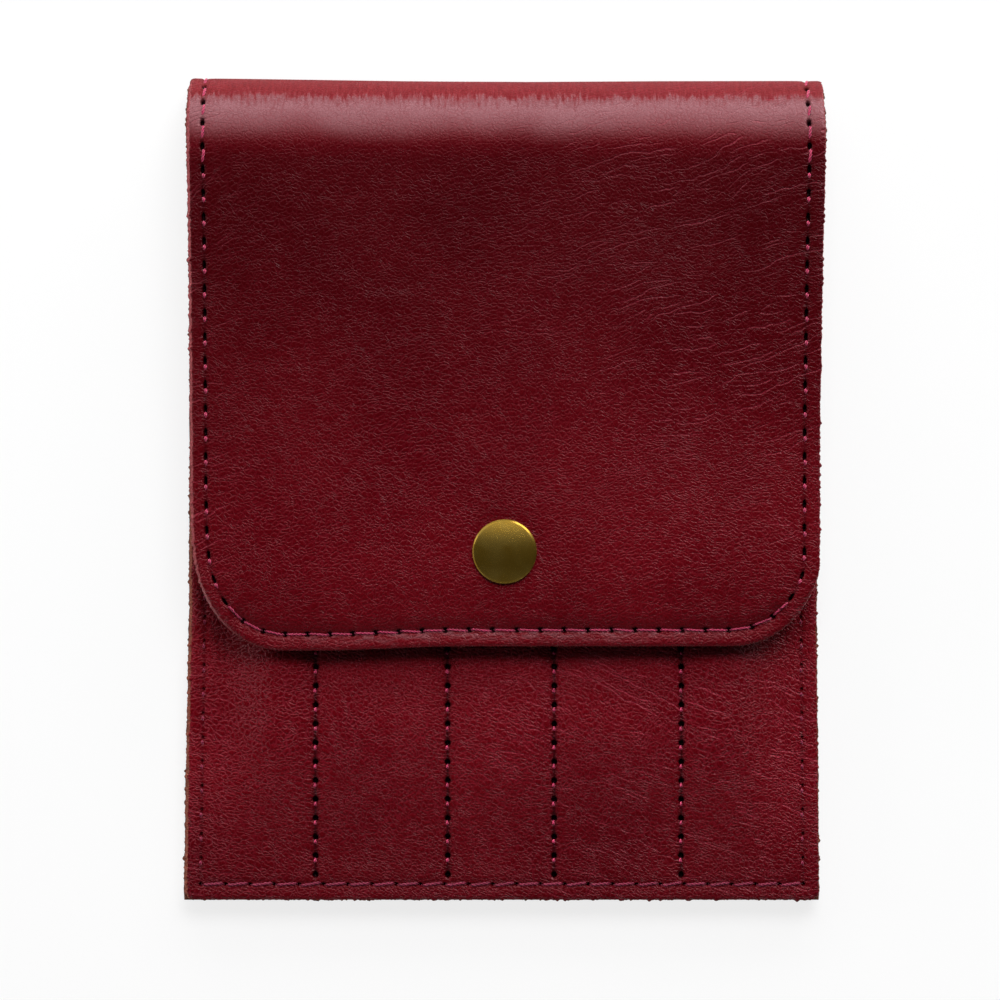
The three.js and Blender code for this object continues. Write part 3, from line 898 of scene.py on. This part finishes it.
def crease_lines(look, vector, turn):
    """Thin lines of an even width that follow the levels of a noise stretched along a
    turned line. They fade out where the noise is flat."""
    angle = math.radians(turn)
    step = (-CREASE_STEP * math.sin(angle), CREASE_STEP * math.cos(angle), 0)
    beside = look.vector("ADD", {0: vector, 1: step})
    here, there = (look.noise(look.scaled(v, CREASES, turn), 1.0) for v in (vector, beside))
    slope = abs(there - here) / CREASE_STEP
    level = look.math("PINGPONG", here - 0.5, CREASE_LEVELS)
    off = level / look.most(slope, CREASE_FLAT)
    return look.spread(off, 0.0, CREASE_HALF, 1.0, 0.0) * look.spread(slope, CREASE_FLAT, 0.1)


def creases(look, cut, drift, side, lay, middle):
    """Creases round a middle and along the side edges, in some places only."""
    lines = crease_lines(look, look.strayed(drift, 0.3, 1.2), lay)
    away = look.vector("DISTANCE", {0: cut, 1: (*middle, 0)}, "Value")
    where = look.most(look.spread(away, 12, 75, 1.0, 0.0),
                      look.spread(side, HALF - 16, HALF - 4, 0.0, 0.75))
    return lines * look.spread(look.noise(cut, 0.09), 0.36, 0.56, 0.1, 1.0) * where


def fold_wear(look, cut, along):
    """The ridge of the fold is worn. Its streaks, places along with a ragged limit, and how
    worn it is."""
    streak = look.noise(look.scaled(cut, STREAKS), 1.0, 4.0, 0.65)
    ragged = along + streak * RAG_STREAK + look.noise(cut, 0.14, 1.0) * RAG_WAVE
    worn = (look.spread(ragged, strip_v(50) + RAG_MEAN, strip_v(95) + RAG_MEAN)
            * look.spread(ragged, WORN_END + 3.4, WORN_END + 5.6, 1.0, 0.0))
    return streak, ragged, worn


def painted_sheen_band(look, cut, along, ragged, valley):
    """Painted sheen: the bend below the ridge is painted pale as a highlight, least in the
    valleys of the grain.
    """
    low_limit = along + look.noise(cut, 0.07) * 3.0
    return (look.spread(ragged, WORN_END + 2.6, WORN_END + 7.0)
            * look.spread(low_limit, SHEEN_BAND_V - 0.5, FLAP_V + 1.0, 1.0, 0.0)
            * look.spread(valley, 0.0, 1.0, 0.95, 0.65))


def painted_margin_highlight(look, cut, along, side):
    """Painted highlight on the flap's margin below its seam, in the middle."""
    highlight_patches = look.noise(look.scaled(cut, HIGHLIGHT_PATCHES), 1.0, 3.0, 0.6)
    return (look.spread(along, END_V - 3.8, END_V - 3.1)
            * look.spread(along, END_V - 2.8, END_V - 0.2, 1.0, 0.0)
            * look.spread(side, 20, 52, 1.0, 0.0) * look.spread(highlight_patches, 0.4, 0.68, 0.0, 0.5))


def leather(name, edges, lay, run, shading, grain, pale, creased, middle):
    """Burgundy leather with two colours of its raw edges. Lay is the angle at which its grain
    and its creases run. Shading and grain are how light the leather is painted, a painted shade
    that is partly its own tone, and how deep its grain is at the two places of the run along the
    cut.
    Pale is how much of the painted glint colour lies in the valleys of the grain.
    Creased is the middle of the creased part, and middle the middle of the cut across it."""
    look = Look(name)
    cut = look.attribute("cut", "Vector")
    raw, painted_seam_shade = look.attribute("raw"), look.attribute("painted_seam_shade")
    across, along, _ = look.parts(cut)
    side = abs(across - middle)
    drift = look.strayed(cut, 0.025, 9.0)
    valley, pebble = pebbles(look, cut, drift, lay[0])
    crease = creases(look, cut, drift, side, lay[1], creased)
    pores = look.noise(cut, 2.4, 3.0, 0.6)
    fibre = look.noise(look.scaled(cut, (2.4, 2.4, 6.0)), 1.6, 4.0, 0.7, False)
    streak, ragged, worn = fold_wear(look, cut, along)

    # Height: the grain is shallow on the bend with the painted sheen and deeper at the start of
    # the fold
    depth = look.spread(along, *run, *grain) * look.spread(abs(along - SHEEN_BAND_V), 3, 14, 0.6, 1.0)
    depth = depth + look.spread(along, FOLD_V, strip_v(100), 0.03, 0.0)
    look.bump((pebble * PEBBLE_RISE - valley) * depth + pores * PORE_RISE
              + crease * CREASE_DROP + fibre * raw * FIBRE_RISE)

    # Colour: clouds, the worn ridge, pale lines of painted glint, dark pores, the run of painted
    # shade, then the painted sheen and the painted highlight on the margin
    cloud = look.noise(cut, 0.03, 3.0)
    tone = look.mix(look.spread(cloud, 0.3, 0.7), BURGUNDY_DARK, BURGUNDY)
    rubbed = look.mix(look.spread(along, strip_v(112), WORN_END), BURGUNDY_RUBBED, BURGUNDY_WORN)
    rubbed = look.mix(look.spread(streak, 0.35, 0.65, 0.0, 0.55), rubbed, BURGUNDY_STREAK)
    tone = look.mix(worn * 0.7, tone, rubbed)
    # Pale lines in the grain's valleys and along the creases are painted glints
    tone = look.mix(look.most(valley * pale, crease * 0.85), tone, PAINTED_GLINT)
    tone = look.mix(look.spread(pores, 0.3, 0.55, 0.5, 0.0), tone, BURGUNDY_DARK)
    # Painted shade: darker over the top of the flap, lighter towards its foot and light on the
    # fold and the back; partly the leather's own tone
    shade = look.most(look.spread(along, *run, *shading),
                      look.spread(along, FLAP_V - 8, FLAP_V + 14, 0.85, 0.0))
    tone = look.mix(1.0, tone, look.grey(shade), "MULTIPLY")
    # Painted sheen on the bend below the ridge
    tone = look.mix(painted_sheen_band(look, cut, along, ragged, valley), tone, PAINTED_SHEEN)
    # Painted highlight on the flap's margin
    tone = look.mix(painted_margin_highlight(look, cut, along, side), tone, PAINTED_SHEEN)
    tone = look.mix(raw, tone, look.mix(look.spread(fibre, 0.35, 0.65), *edges))
    # Painted shade in the stitch holes and along the seam grooves
    tone = look.mix(painted_seam_shade, tone, HOLE_SHADE)
    dull = look.most(raw * 0.9, worn * 0.8)
    look.set(Base_Color=tone, Roughness=look.most(pores * 0.1 + 0.22, dull))
    look.set(Specular_IOR_Level=0.5, Specular_Tint=SPECULAR_TINT)
    return look.material


SUEDE_DARK = linear(88, 46, 38)
SUEDE = linear(116, 68, 54)
SUEDE_PALE = linear(142, 92, 74)
SUEDE_SHEEN = linear(190, 140, 120)
SUEDE_HOLE_SHADE = linear(24, 10, 8)


def suede():
    """Red-brown suede with a short brushed nap."""
    look = Look("lining_suede")
    cut = look.attribute("cut", "Vector")
    raw, painted_seam_shade = look.attribute("raw"), look.attribute("painted_seam_shade")
    nap = look.noise(look.scaled(cut, (1.0, 0.6, 1.0)), 3.4, 5.0, 0.72)
    tufts = look.noise(look.strayed(cut, 0.3, 2.0), 0.9, 5.0, 0.7)
    brushed = look.noise(look.strayed(cut, 0.03, 24.0), 0.05)
    tone = look.mix(look.spread(tufts, 0.32, 0.68), SUEDE_DARK, SUEDE)
    tone = look.mix(look.spread(brushed, 0.4, 0.62, 0.0, 0.35), tone, SUEDE)
    tone = look.mix(look.spread(nap, 0.42, 0.72, 0.0, 0.65), tone, SUEDE_PALE)
    tone = look.mix(raw * look.spread(nap, 0.35, 0.7), tone, SUEDE_DARK)
    # Painted shade in the stitch holes and along the seam grooves
    tone = look.mix(look.spread(painted_seam_shade, 0.2, 0.8), tone, SUEDE_HOLE_SHADE)
    look.set(Base_Color=tone, Roughness=0.95, Specular_IOR_Level=0.15)
    look.set(Sheen_Weight=0.25, Sheen_Roughness=0.6, Sheen_Tint=SUEDE_SHEEN)
    look.bump(nap * 0.2 + tufts * 0.22)
    return look.material


THREAD_PLY_SHADE = linear(112, 24, 50)
THREAD = linear(186, 52, 90)
THREAD_PALE = linear(226, 110, 142)


def sewing_thread():
    """Twisted thread: painted shade between its plies, with some pale fibres."""
    look = Look("sewing_thread")
    twine = look.attribute("twine", "Vector")
    along, turn, tone = look.parts(twine)
    ply = look.math("COSINE", turn * PLIES + along * (PLIES * PLY_TURN)) * 0.5 + 0.5
    fibre = look.noise(look.scaled(twine, (5.0, 2.0, 1.0)), 2.4, 3.0, 0.6)
    # Painted shade between the plies
    colour = look.mix(look.spread(ply, 0.0, 0.7), THREAD_PLY_SHADE, THREAD)
    colour = look.mix(look.spread(fibre, 0.5, 0.75, 0.0, 0.5), colour, THREAD_PALE)
    colour = look.mix(1.0, colour, look.grey(tone), "MULTIPLY")
    look.set(Base_Color=colour, Roughness=0.55, Specular_IOR_Level=0.35)
    look.set(Sheen_Weight=0.2, Sheen_Roughness=0.4)
    look.bump(ply * 0.05 + fibre * 0.05)
    return look.material


BRASS = linear(186, 146, 54)
BRASS_PALE = linear(200, 164, 76)
PATINA = linear(110, 80, 28)
STEEL = linear(170, 170, 168)
STEEL_PALE = linear(196, 196, 194)
STEEL_STAIN = linear(120, 118, 114)


def metal(name, plain, pale, stain, rough, metallic):
    """Old metal with pale clouds, stained flecks and fine rubbed lines."""
    look = Look(name)
    place = look.node("TexCoord", None, "Object")
    fleck = look.noise(place, 1400.0, 4.0, 0.6, False)
    cloud = look.noise(place, 260.0, 3.0, 0.55, False)
    rubbed = look.noise(look.scaled(place, (300.0, 2600.0, 300.0), 12), 1.0, 3.0, 0.6, False)
    tone = look.mix(look.spread(cloud, 0.35, 0.7), plain, pale)
    tone = look.mix(look.spread(fleck, 0.56, 0.8, 0.0, 0.16), tone, stain)
    look.set(Base_Color=tone, Metallic=metallic, Roughness=cloud * 0.06 + rough)
    look.bump(rubbed * 0.003 + fleck * 0.002)
    return look.material


FLOOR_WHITE = (0.8, 0.97)
FLOOR_NEAR_FAR = (0.5, 1.4)
FLOOR_IN_METAL = 0.35
FLOOR_IN_GLASS = 0.8


def floor_material():
    """A white floor: the camera, metal and glass see it near white, and it keeps a shadow."""
    look = Look("floor")
    look.set(Base_Color=(0.86, 0.86, 0.86, 1), Roughness=0.9, Specular_IOR_Level=0.1)
    away = look.vector("LENGTH", {0: look.node("TexCoord", None, "Object")}, "Value")
    white = look.spread(away, *FLOOR_NEAR_FAR, *FLOOR_WHITE)
    seen = look.most(look.node("LightPath", None, "Is Camera Ray") * white,
                     look.node("LightPath", None, "Is Glossy Ray") * FLOOR_IN_METAL)
    glass = look.node("LightPath", None, "Is Transmission Ray") * FLOOR_IN_GLASS
    light = look.node("Emission", {"Color": (1, 1, 1, 1), "Strength": 1.0})
    mixed = look.node("MixShader", {0: look.most(seen, glass),
                                    1: Value(look, look.shader.outputs[0]), 2: light})
    look.put(look.tree.nodes["Material Output"].inputs["Surface"], mixed)
    return look.material


# The front panel's places in the leather, apart from those of the long cut
FRONT_OFFSET = (300, 500)
HEM_V = FRONT_OFFSET[1] + LOWER_Y + 2
# Its shading is painted shade, darkest at the top of the flap, partly the leather's own tone
LEATHER_LOOK = leather(
    "outer_leather", edges=(linear(172, 82, 88), linear(132, 58, 58)), lay=(0, -16),
    run=(FLAP_V + 8, END_V - 12), shading=(0.46, 0.93), grain=(0.045, 0.07), pale=0.2,
    creased=(48, FLAP_V + 20), middle=0)
# Its shading is painted shade and light: darker at the lower hem, lighter above it
FRONT_LOOK = leather(
    "front_leather", edges=(linear(150, 82, 64), linear(112, 58, 44)), lay=(-24, -18),
    run=(HEM_V, HEM_V + 26), shading=(0.78, 1.2), grain=(0.085, 0.1), pale=0.34,
    creased=(FRONT_OFFSET[0] + 38, FRONT_OFFSET[1] - 54), middle=FRONT_OFFSET[0])
SUEDE_LOOK = suede()
THREAD_LOOK = sewing_thread()
BRASS_LOOK = metal("antique_brass", BRASS, BRASS_PALE, PATINA, 0.22, 0.91)
STEEL_LOOK = metal("spring_steel", STEEL, STEEL_PALE, STEEL_STAIN, 0.2, 1.0)


# The seams of the long cut and of the pocket

SEAM_X = HALF - SEAM_INSET
SEAM_LOW = LOWER_Y + SEAM_INSET
SEAM_START = 1
PLEAT_SEAM_END = SEAM_LOW + 1.4
OVER_END = FLAP_V + 3
LONG_START = END_V - 7.5


def cut_style(u, v):
    if v < FOLD_V:
        return FLUSH
    if v < OVER_END:
        return OVER
    return SIDE if v < LONG_START else LONG


def front_style(x, y):
    return LOWER if y < SEAM_LOW + 0.5 else MARGIN


edge_line = turned_line(SEAM_X, END_V - SEAM_INSET, FLAP_CORNER - SEAM_INSET,
                        MOUTH_V - SEAM_START)
long_seam = Seam(edge_line, EDGE_STITCH, cut_style, (0, 1))
under_seam = Seam(edge_line, EDGE_STITCH, lambda *_: SUEDE_STITCH, (0, 1))
pocket_lines = (
    ((-SEAM_X, MOUTH_Y - SEAM_START), (-SEAM_X, SEAM_LOW)),
    ((-SEAM_X, SEAM_LOW), (SEAM_X, SEAM_LOW)),
    ((SEAM_X, MOUTH_Y - SEAM_START), (SEAM_X, SEAM_LOW)),
)
pocket_seams = [Seam(line, EDGE_STITCH, front_style, (0, -1)) for line in pocket_lines]
pleat_seams = [Seam(((x, MOUTH_Y - SEAM_START), (x, PLEAT_SEAM_END)), POCKET_STITCH,
                    lambda *_: POCKET, (0, -1)) for x in PLEATS]
back_lines = [[(x, y - LOWER_Y) for x, y in line] for line in pocket_lines]
back_seams = [Seam(line, EDGE_STITCH, lambda *_: FLUSH, (0, 1)) for line in back_lines]


# Relief of each bare face

WRINKLE, WRINKLE_WIDTH, WRINKLE_SIZE = 0.07, 0.22, 7.0
WRINKLED_SIZE = 38
DENT, DENT_R, DENT_WIDTH = 0.22, 5.5, 2.2


def wrinkles(x, y, seed):
    """Low soft wrinkles that run across the leather."""
    line = field(x * 0.3 + 0.2 * y, y, WRINKLE_SIZE, seed)
    where = ramp(field(x, y, WRINKLED_SIZE, seed + 4), -0.1, 0.5)
    return WRINKLE * where * np.clip(1 - np.abs(line) / WRINKLE_WIDTH, 0, 1) ** 2


def cap_dent(u, v):
    """The leather is drawn in round the snap."""
    off = np.hypot(u, v - SNAP_V)
    return DENT * bell(np.maximum(off - DENT_R, 0), DENT_WIDTH)


cut_groove, cut_holes = seam_relief([long_seam, *back_seams])
front_groove, front_holes = seam_relief([*pocket_seams, *pleat_seams])
under_groove, under_holes = seam_relief([under_seam])


def cut_surface(u, v):
    return cut_groove(u, v) + wrinkles(u, v, 1.7) + cap_dent(u, v)


def front_surface(x, y):
    return front_groove(x, y) + wrinkles(x, y, 6.4)


def with_holes(surface, holes):
    def relief(x, y):
        depth, dark = holes(x, y)
        return surface(x, y) + depth, dark
    return relief


cut_relief = with_holes(cut_surface, cut_holes)
front_relief = with_holes(front_surface, front_holes)
under_relief = with_holes(under_groove, under_holes)


# Leather pieces

FLARE, BACK_FLARE = 0.55, 0.25
LINING_OUT = 0.12
JOIN_CLEAR = 0.12
TIGHT_CELL, EASY_CELL = (1.0, 0.42), (1.0, 0.75)
OUTER = (cut_place, LEATHER, LEATHER_LOOK, cut_relief)
INNER = (lining_place, LINING, SUEDE_LOOK, under_relief)
cut_spots = seam_spots([long_seam, *back_seams])
under_spots = seam_spots([under_seam])


def between(spots, low, high):
    return [p for p in spots if low + JOIN_CLEAR < p[1] < high - JOIN_CLEAR]


def dress(piece, slot, body, *nodes):
    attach(piece, body)
    if nodes:
        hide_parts(*nodes)
    return piece


def bend(piece, strip, deepest):
    """Bakes the place of a stretch of the fold into its mesh. Where its chord across the joint
    would lie is worked out and not used.
    """
    a, b, low, high, radius, (cy, cz) = strip
    middle, half = math.radians(low + high) / 2, math.radians(high - low) / 2
    reach = (radius - deepest) * math.sin(half)
    y, z = cy + radius * math.sin(middle), cz - radius * math.cos(middle)
    dy, dz = reach * math.cos(middle), reach * math.sin(middle)
    (y - dy) * MM
    (z - dz) * MM
    (y + dy) * MM
    (z + dz) * MM
    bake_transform(piece)


back = sheet("back_leather", outline(HALF, 0, FOLD_V, CASE_CORNER, 0, True, False), *OUTER,
             between(cut_spots, 0, FOLD_V), (2.0, 2.0), BACK_FLARE)
dress(back, "outer_leather", "case", "back_panel")
flap = sheet("flap_skin", outline(HALF, FLAP_V, END_V, 0, FLAP_CORNER, False, True), *OUTER,
             between(cut_spots, FLAP_V, END_V), (1.1, 1.1), FLARE, neat=0.85)
dress(flap, "outer_leather", "flap", "flap_leather")
for number, strip in enumerate(STRIPS, 1):
    low, high = strip_v(strip[2]), strip_v(strip[3])
    cell = TIGHT_CELL if strip[4] == TIGHT_R else EASY_CELL
    skin = sheet(f"fold_skin_{number}", outline(HALF, low, high, 0, 0, False, False), *OUTER,
                 between(cut_spots, low, high), cell, BACK_FLARE if number < 3 else FLARE)
    bend(skin, strip, LEATHER)
    if number < 4:
        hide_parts(f"fold_leather_{number}")
    edge = outline(HALF + LINING_OUT, low, high, 0, 0, False, False)
    inner = sheet(f"fold_suede_{number}", edge, *INNER, between(under_spots, low, high), cell)
    bend(inner, strip, INSIDE)
    if number < 4:
        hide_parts(f"fold_lining_{number}")
lining = sheet("back_suede", outline(HALF + LINING_OUT, 0, FOLD_V, CASE_CORNER, 0, True, False),
               *INNER, between(under_spots, MOUTH_V - 4, FOLD_V), (2.6, 2.6))
dress(lining, "lining_leather", "case", "back_lining")
lining = sheet("flap_suede", outline(HALF, FLAP_V, END_V, 0, FLAP_CORNER, False, True),
               *INNER, between(under_spots, FLAP_V, END_V), (2.2, 2.2))
dress(lining, "lining_leather", "flap", "flap_lining")
front = sheet("front_skin", outline(HALF, LOWER_Y, MOUTH_Y, CASE_CORNER, 0), front_place,
              LEATHER, FRONT_LOOK, front_relief, seam_spots([*pocket_seams, *pleat_seams]),
              (1.2, 1.2), FLARE, FRONT_OFFSET)
dress(front, "outer_leather", "case", "front_panel")


# The pocket backing, flat with a rounded standing pleat under each pocket seam

BACKING_TOP = 3.2
BACKING_ROWS = 60
BACKING_OFFSET = 700
PLEAT_HALF = 0.9
PLEAT_TOP = 6.9
PLEAT_CLEAR = 0.25
PLEAT_LEAN = 0.25
# Up one side of a pleat: places beside it and shares of its height
PLEAT_SIDE = ((1.0, 0.0), (0.25, 0.12), (0.0, 0.35), (0.0, 0.8))
PLEAT_ROUND = 0.2


def backing_section():
    """Places across the backing and the share of a pleat's height at each."""
    section = [(-HALF, 0.0)]
    for x in PLEATS:
        section += [(x - PLEAT_HALF - out, share) for out, share in PLEAT_SIDE]
        section += [(x + PLEAT_HALF * math.cos(t), 1 - PLEAT_ROUND + PLEAT_ROUND * math.sin(t))
                    for t in np.linspace(math.pi, 0, 9)[1:-1]]
        section += [(x + PLEAT_HALF + out, share) for out, share in reversed(PLEAT_SIDE)]
    return np.array(section + [(HALF, 0.0)]).T


def backing():
    xs, share = backing_section()
    rows = [*np.linspace(LOWER_Y, MOUTH_Y - 1, BACKING_ROWS), MOUTH_Y - 0.3]
    sides = np.abs(xs) > HALF - 1
    verts, cut = [], []
    for y in rows:
        ys = np.full(len(xs), y)
        rise = np.minimum(front_face(xs, ys) - LEATHER - PLEAT_CLEAR, PLEAT_TOP)
        z = BACKING_TOP + np.maximum(rise - BACKING_TOP, 0) * share
        lean = PLEAT_LEAN * share * np.sin(y * 0.11 + xs)
        pull = np.where(sides, np.sign(xs) * rag(y * 0.9, 41.0), 0)
        verts.append(np.column_stack([sway(xs + lean + pull, ys, CASE_EDGES), ys, z]))
        cut.append(np.column_stack([xs + BACKING_OFFSET, ys, z]))
    top, cut = np.concatenate(verts), np.concatenate(cut)
    verts = np.concatenate([top, top * (1, 1, 0) + (0, 0, BACKING_TOP - BACKING)])
    faces = quads(len(rows), len(xs))
    loop, below = border(faces), len(top)
    faces += [tuple(below + k for k in reversed(f)) for f in faces]
    faces += [(b, a, below + a, below + b) for a, b in zip(loop, loop[1:] + loop[:1])]
    values = {"cut": np.concatenate([cut, cut * (1, 1, 0)]),
              "raw": np.tile(sides, 2 * len(rows)), "painted_seam_shade": np.zeros(len(verts))}
    return new_piece("pocket_suede", verts, facing_out(verts, faces), SUEDE_LOOK, values, 60)


dress(backing(), "lining_leather", "case", "pocket_backing")


# Stitches

FAR = 1e4
outside = [Batch() for _ in range(6)]
under = [Batch() for _ in range(6)]
lines = [-FAR, FOLD_V, *(strip_v(s[3]) for s in STRIPS), FAR]
sew(long_seam, cut_place, cut_surface, list(zip(lines, lines[1:], outside)), 1.0)
sew(under_seam, lining_place, under_groove, list(zip(lines, lines[1:], under)), 2.0)
dress(outside[0].piece("back_edge_stitches", THREAD_LOOK), "thread", "case")
dress(under[0].piece("back_edge_under_stitches", THREAD_LOOK), "thread", "case")
dress(outside[5].piece("flap_stitches", THREAD_LOOK), "thread", "flap", "flap_seam_thread")
dress(under[5].piece("flap_under_stitches", THREAD_LOOK), "thread", "flap",
      "flap_seam_under_thread")
for number, strip in enumerate(STRIPS, 1):
    bend(outside[number].piece(f"fold_stitches_{number}", THREAD_LOOK), strip, LEATHER)
    bend(under[number].piece(f"fold_under_stitches_{number}", THREAD_LOOK), strip, INSIDE)


def sewn(name, seams, place, surface, seed, node):
    batch = Batch()
    for k, seam in enumerate(seams):
        sew(seam, place, surface, [(-FAR, FAR, batch)], seed + k)
    dress(batch.piece(name, THREAD_LOOK), "thread", "case", node)


sewn("pocket_seam_stitches", pocket_seams, front_place, front_surface, 3.0, "pocket_seam_thread")
sewn("back_seam_stitches", back_seams, cut_place, cut_surface, 7.0, "back_seam_thread")
for number, seam in enumerate(pleat_seams, 1):
    sewn(f"pocket_stitches_{number}", [seam], front_place, front_surface, 10.0 + number,
         f"pocket_thread_{number}")


# Snap

ROUND = 96


def eased(profile, radius, steps=4):
    """A profile whose corners are rounded by a small radius. Its first and last points stay."""
    done = [profile[0]]
    for before, at, after in zip(profile, profile[1:], profile[2:]):
        a, b, c = (np.array(p, float) for p in (before, at, after))
        back_way, on_way = a - b, c - b
        r = min(radius, 0.45 * np.linalg.norm(back_way), 0.45 * np.linalg.norm(on_way))
        p = b + back_way / np.linalg.norm(back_way) * r
        q = b + on_way / np.linalg.norm(on_way) * r
        for k in range(steps + 1):
            t = k / steps
            done.append(tuple((1 - t) ** 2 * p + 2 * t * (1 - t) * b + t * t * q))
    return done + [profile[-1]]


def turned(name, profile, material, closed):
    """A profile of radius and height turned about the snap's axis."""
    verts, rings = [], []
    for r, z in profile:
        if r < 1e-6:
            rings.append([len(verts)])
            verts.append((0, SNAP_Y, z))
        else:
            rings.append(list(range(len(verts), len(verts) + ROUND)))
            for k in range(ROUND):
                turn = 2 * math.pi * k / ROUND
                verts.append((r * math.cos(turn), SNAP_Y + r * math.sin(turn), z))
    faces = []
    pairs = list(zip(rings, rings[1:])) + ([(rings[-1], rings[0])] if closed else [])
    for a, b in pairs:
        for k in range(ROUND):
            n = (k + 1) % ROUND
            if len(a) == 1:
                faces.append((a[0], b[n], b[k]))
            elif len(b) == 1:
                faces.append((a[k], a[n], b[0]))
            else:
                faces.append((a[k], a[n], b[n], b[k]))
    verts = np.array(verts)
    return new_piece(name, verts, facing_out(verts, faces), material, sharp=40)


CAP_SEAT = FLAP_TOP
CAP_RIM = 6.27
CAP_RIM_RISE = 0.3
CAP_ROLL = 1.6
CAP_STEEP, CAP_FLAT = math.radians(44), math.radians(20)


def cap_dome():
    """The cap's face from its rim to its middle: a rolled edge, then a low dome."""
    face = [(CAP_RIM - CAP_ROLL * (math.sin(CAP_STEEP) - math.sin(s)),
             CAP_RIM_RISE + CAP_ROLL * (math.cos(s) - math.cos(CAP_STEEP)))
            for s in np.linspace(CAP_STEEP, CAP_FLAT, 12)]
    r, z = face[-1]
    dome = r / math.sin(CAP_FLAT)
    for s in np.linspace(CAP_FLAT, 0, 10)[1:]:
        face.append((dome * math.sin(s), z + dome * (math.cos(s) - math.cos(CAP_FLAT))))
    return face


cap_profile = [(0.0, 11.1), (1.9, 11.1), (2.25, 11.2), (2.25, 11.35), (1.65, 11.4),
               (1.65, CAP_SEAT - 0.1), (5.8, CAP_SEAT - 0.1), (6.18, CAP_SEAT + 0.03),
               *((r, CAP_SEAT + z) for r, z in cap_dome())]
dress(turned("cap", cap_profile, BRASS_LOOK, False), "snap_brass", "flap", "snap_cap")
socket = eased([(3.2, 9.95), (5.3, 9.95), (5.6, 10.3), (5.6, 11.95), (1.85, 11.95), (1.85, 11.4),
                (3.15, 11.4), (3.15, 10.85), (3.65, 10.85), (3.65, 10.15), (3.15, 10.15),
                (3.2, 9.95)], 0.14)
dress(turned("socket", socket[:-1], BRASS_LOOK, True), "snap_brass", "flap", "snap_socket")
stud = eased([(1.62, 9.1), (5.0, 9.1), (5.0, 9.55), (4.2, 9.62), (2.5, 9.62), (2.35, 9.8),
              (2.75, 10.0), (2.75, 10.25), (2.3, 10.45), (1.62, 10.45), (1.62, 9.1)], 0.12)
dress(turned("stud", stud[:-1], BRASS_LOOK, True), "snap_brass", "case", "snap_stud")
eyelet = eased([(1.0, 7.5), (4.2, 7.5), (4.2, 8.0), (1.5, 8.0), (1.5, 10.55), (2.05, 10.55),
                (2.05, 10.72), (1.5, 10.76), (1.0, 10.6), (1.0, 7.5)], 0.09)
dress(turned("eyelet", eyelet[:-1], BRASS_LOOK, True), "snap_brass", "case", "stud_eyelet")

SPRING_R = 3.3
SPRING_Z = 10.5
SPRING_GAP = math.radians(50)
SPRING_WIRE = 0.25
SPRING_STEPS, SPRING_SIDES = 72, 12
spring = Batch()
turn = np.linspace(SPRING_GAP / 2, 2 * math.pi - SPRING_GAP / 2, SPRING_STEPS)
wire = np.column_stack([SPRING_R * np.cos(turn), SNAP_Y + SPRING_R * np.sin(turn),
                        np.full(SPRING_STEPS, SPRING_Z)])
upright = np.tile((0.0, 0.0, 1.0), (SPRING_STEPS, 1))
spring.tube(*round_rings(wire, upright, SPRING_WIRE, 1.0, SPRING_SIDES, 0.0))
verts = np.array(spring.verts)
spring = new_piece("spring", verts, facing_out(verts, spring.faces), STEEL_LOOK, sharp=60)
dress(spring, "spring_steel", "flap", "socket_spring")


# Floor and light

FLOOR_REACH, FLOOR_FLAT, FLOOR_RISE = 4000.0, 1600.0, 1300.0
FLOOR_Z = -0.4
FLOOR_POINTS = 81


def sweep_floor():
    """A floor that rises in a wide curve behind the case and on its left."""
    at = np.linspace(-FLOOR_REACH, FLOOR_REACH, FLOOR_POINTS)
    verts = []
    for y in at:
        for x in at:
            up = max(0.0, y - FLOOR_FLAT, -x - FLOOR_FLAT) / (FLOOR_REACH - FLOOR_FLAT)
            verts.append((x, y, FLOOR_Z + FLOOR_RISE * up * up))
    return new_piece("floor", verts, quads(FLOOR_POINTS, FLOOR_POINTS), floor_material())


sweep_floor()


def lamp(name, place, size, power, mirrored=False):
    """A soft lamp that points at the case. A mirrored one only shows in shiny surfaces, and
    the others don't show there."""
    data = bpy.data.lights.new(name, "AREA")
    data.shape, data.size, data.size_y = "RECTANGLE", *size
    data.energy = power
    made = bpy.data.objects.new(name, data)
    made.location = place
    made.rotation_mode = "QUATERNION"
    made.rotation_quaternion = (-Vector(place)).to_track_quat("-Z", "Y")
    made.visible_camera = False
    made.visible_glossy, made.visible_diffuse = mirrored, not mirrored
    bpy.context.scene.collection.objects.link(made)


lamp("key", (0.2, 0.75, 0.95), (0.8, 0.5), 13.5)
lamp("window", (0.15, 1.5, 0.37), (2.4, 0.72), 35)
lamp("left", (-1.3, 0.3, 0.28), (0.8, 0.4), 6)
lamp("rim", (-1.2, 0.5, 0.4), (0.3, 0.3), 0.6, True)
lamp("fill", (-0.3, -1.3, 0.16), (0.8, 0.25), 3.6)
lamp("glint", (0.8, 1.1, 0.55), (0.8, 0.6), 6.0, True)

# A room that is dark overhead and behind the camera's lower side, and light beyond the fold
SKY = ((0.05, 0.13), (0.2, 0.05), (0.34, 0.004), (0.5, 0.002), (0.6, 0.006), (0.66, 0.07),
       (0.72, 0.25), (0.8, 0.65), (0.89, 0.85), (0.95, 0.4))
world = bpy.data.worlds.new("studio")
bpy.context.scene.world = world
world.use_nodes = True
nodes, links = world.node_tree.nodes, world.node_tree.links
way = nodes.new("ShaderNodeSeparateXYZ")
links.new(nodes.new("ShaderNodeTexCoord").outputs["Generated"], way.inputs[0])
level = nodes.new("ShaderNodeMapRange")
level.inputs["From Min"].default_value = -1
links.new(way.outputs[1], level.inputs["Value"])
sky = nodes.new("ShaderNodeValToRGB")
links.new(level.outputs[0], sky.inputs[0])
while len(sky.color_ramp.elements) < len(SKY):
    sky.color_ramp.elements.new(0.5)
for stop, (at, bright) in zip(sky.color_ramp.elements, SKY):
    stop.position, stop.color = at, (bright, bright, bright, 1)
links.new(sky.outputs[0], nodes["Background"].inputs["Color"])
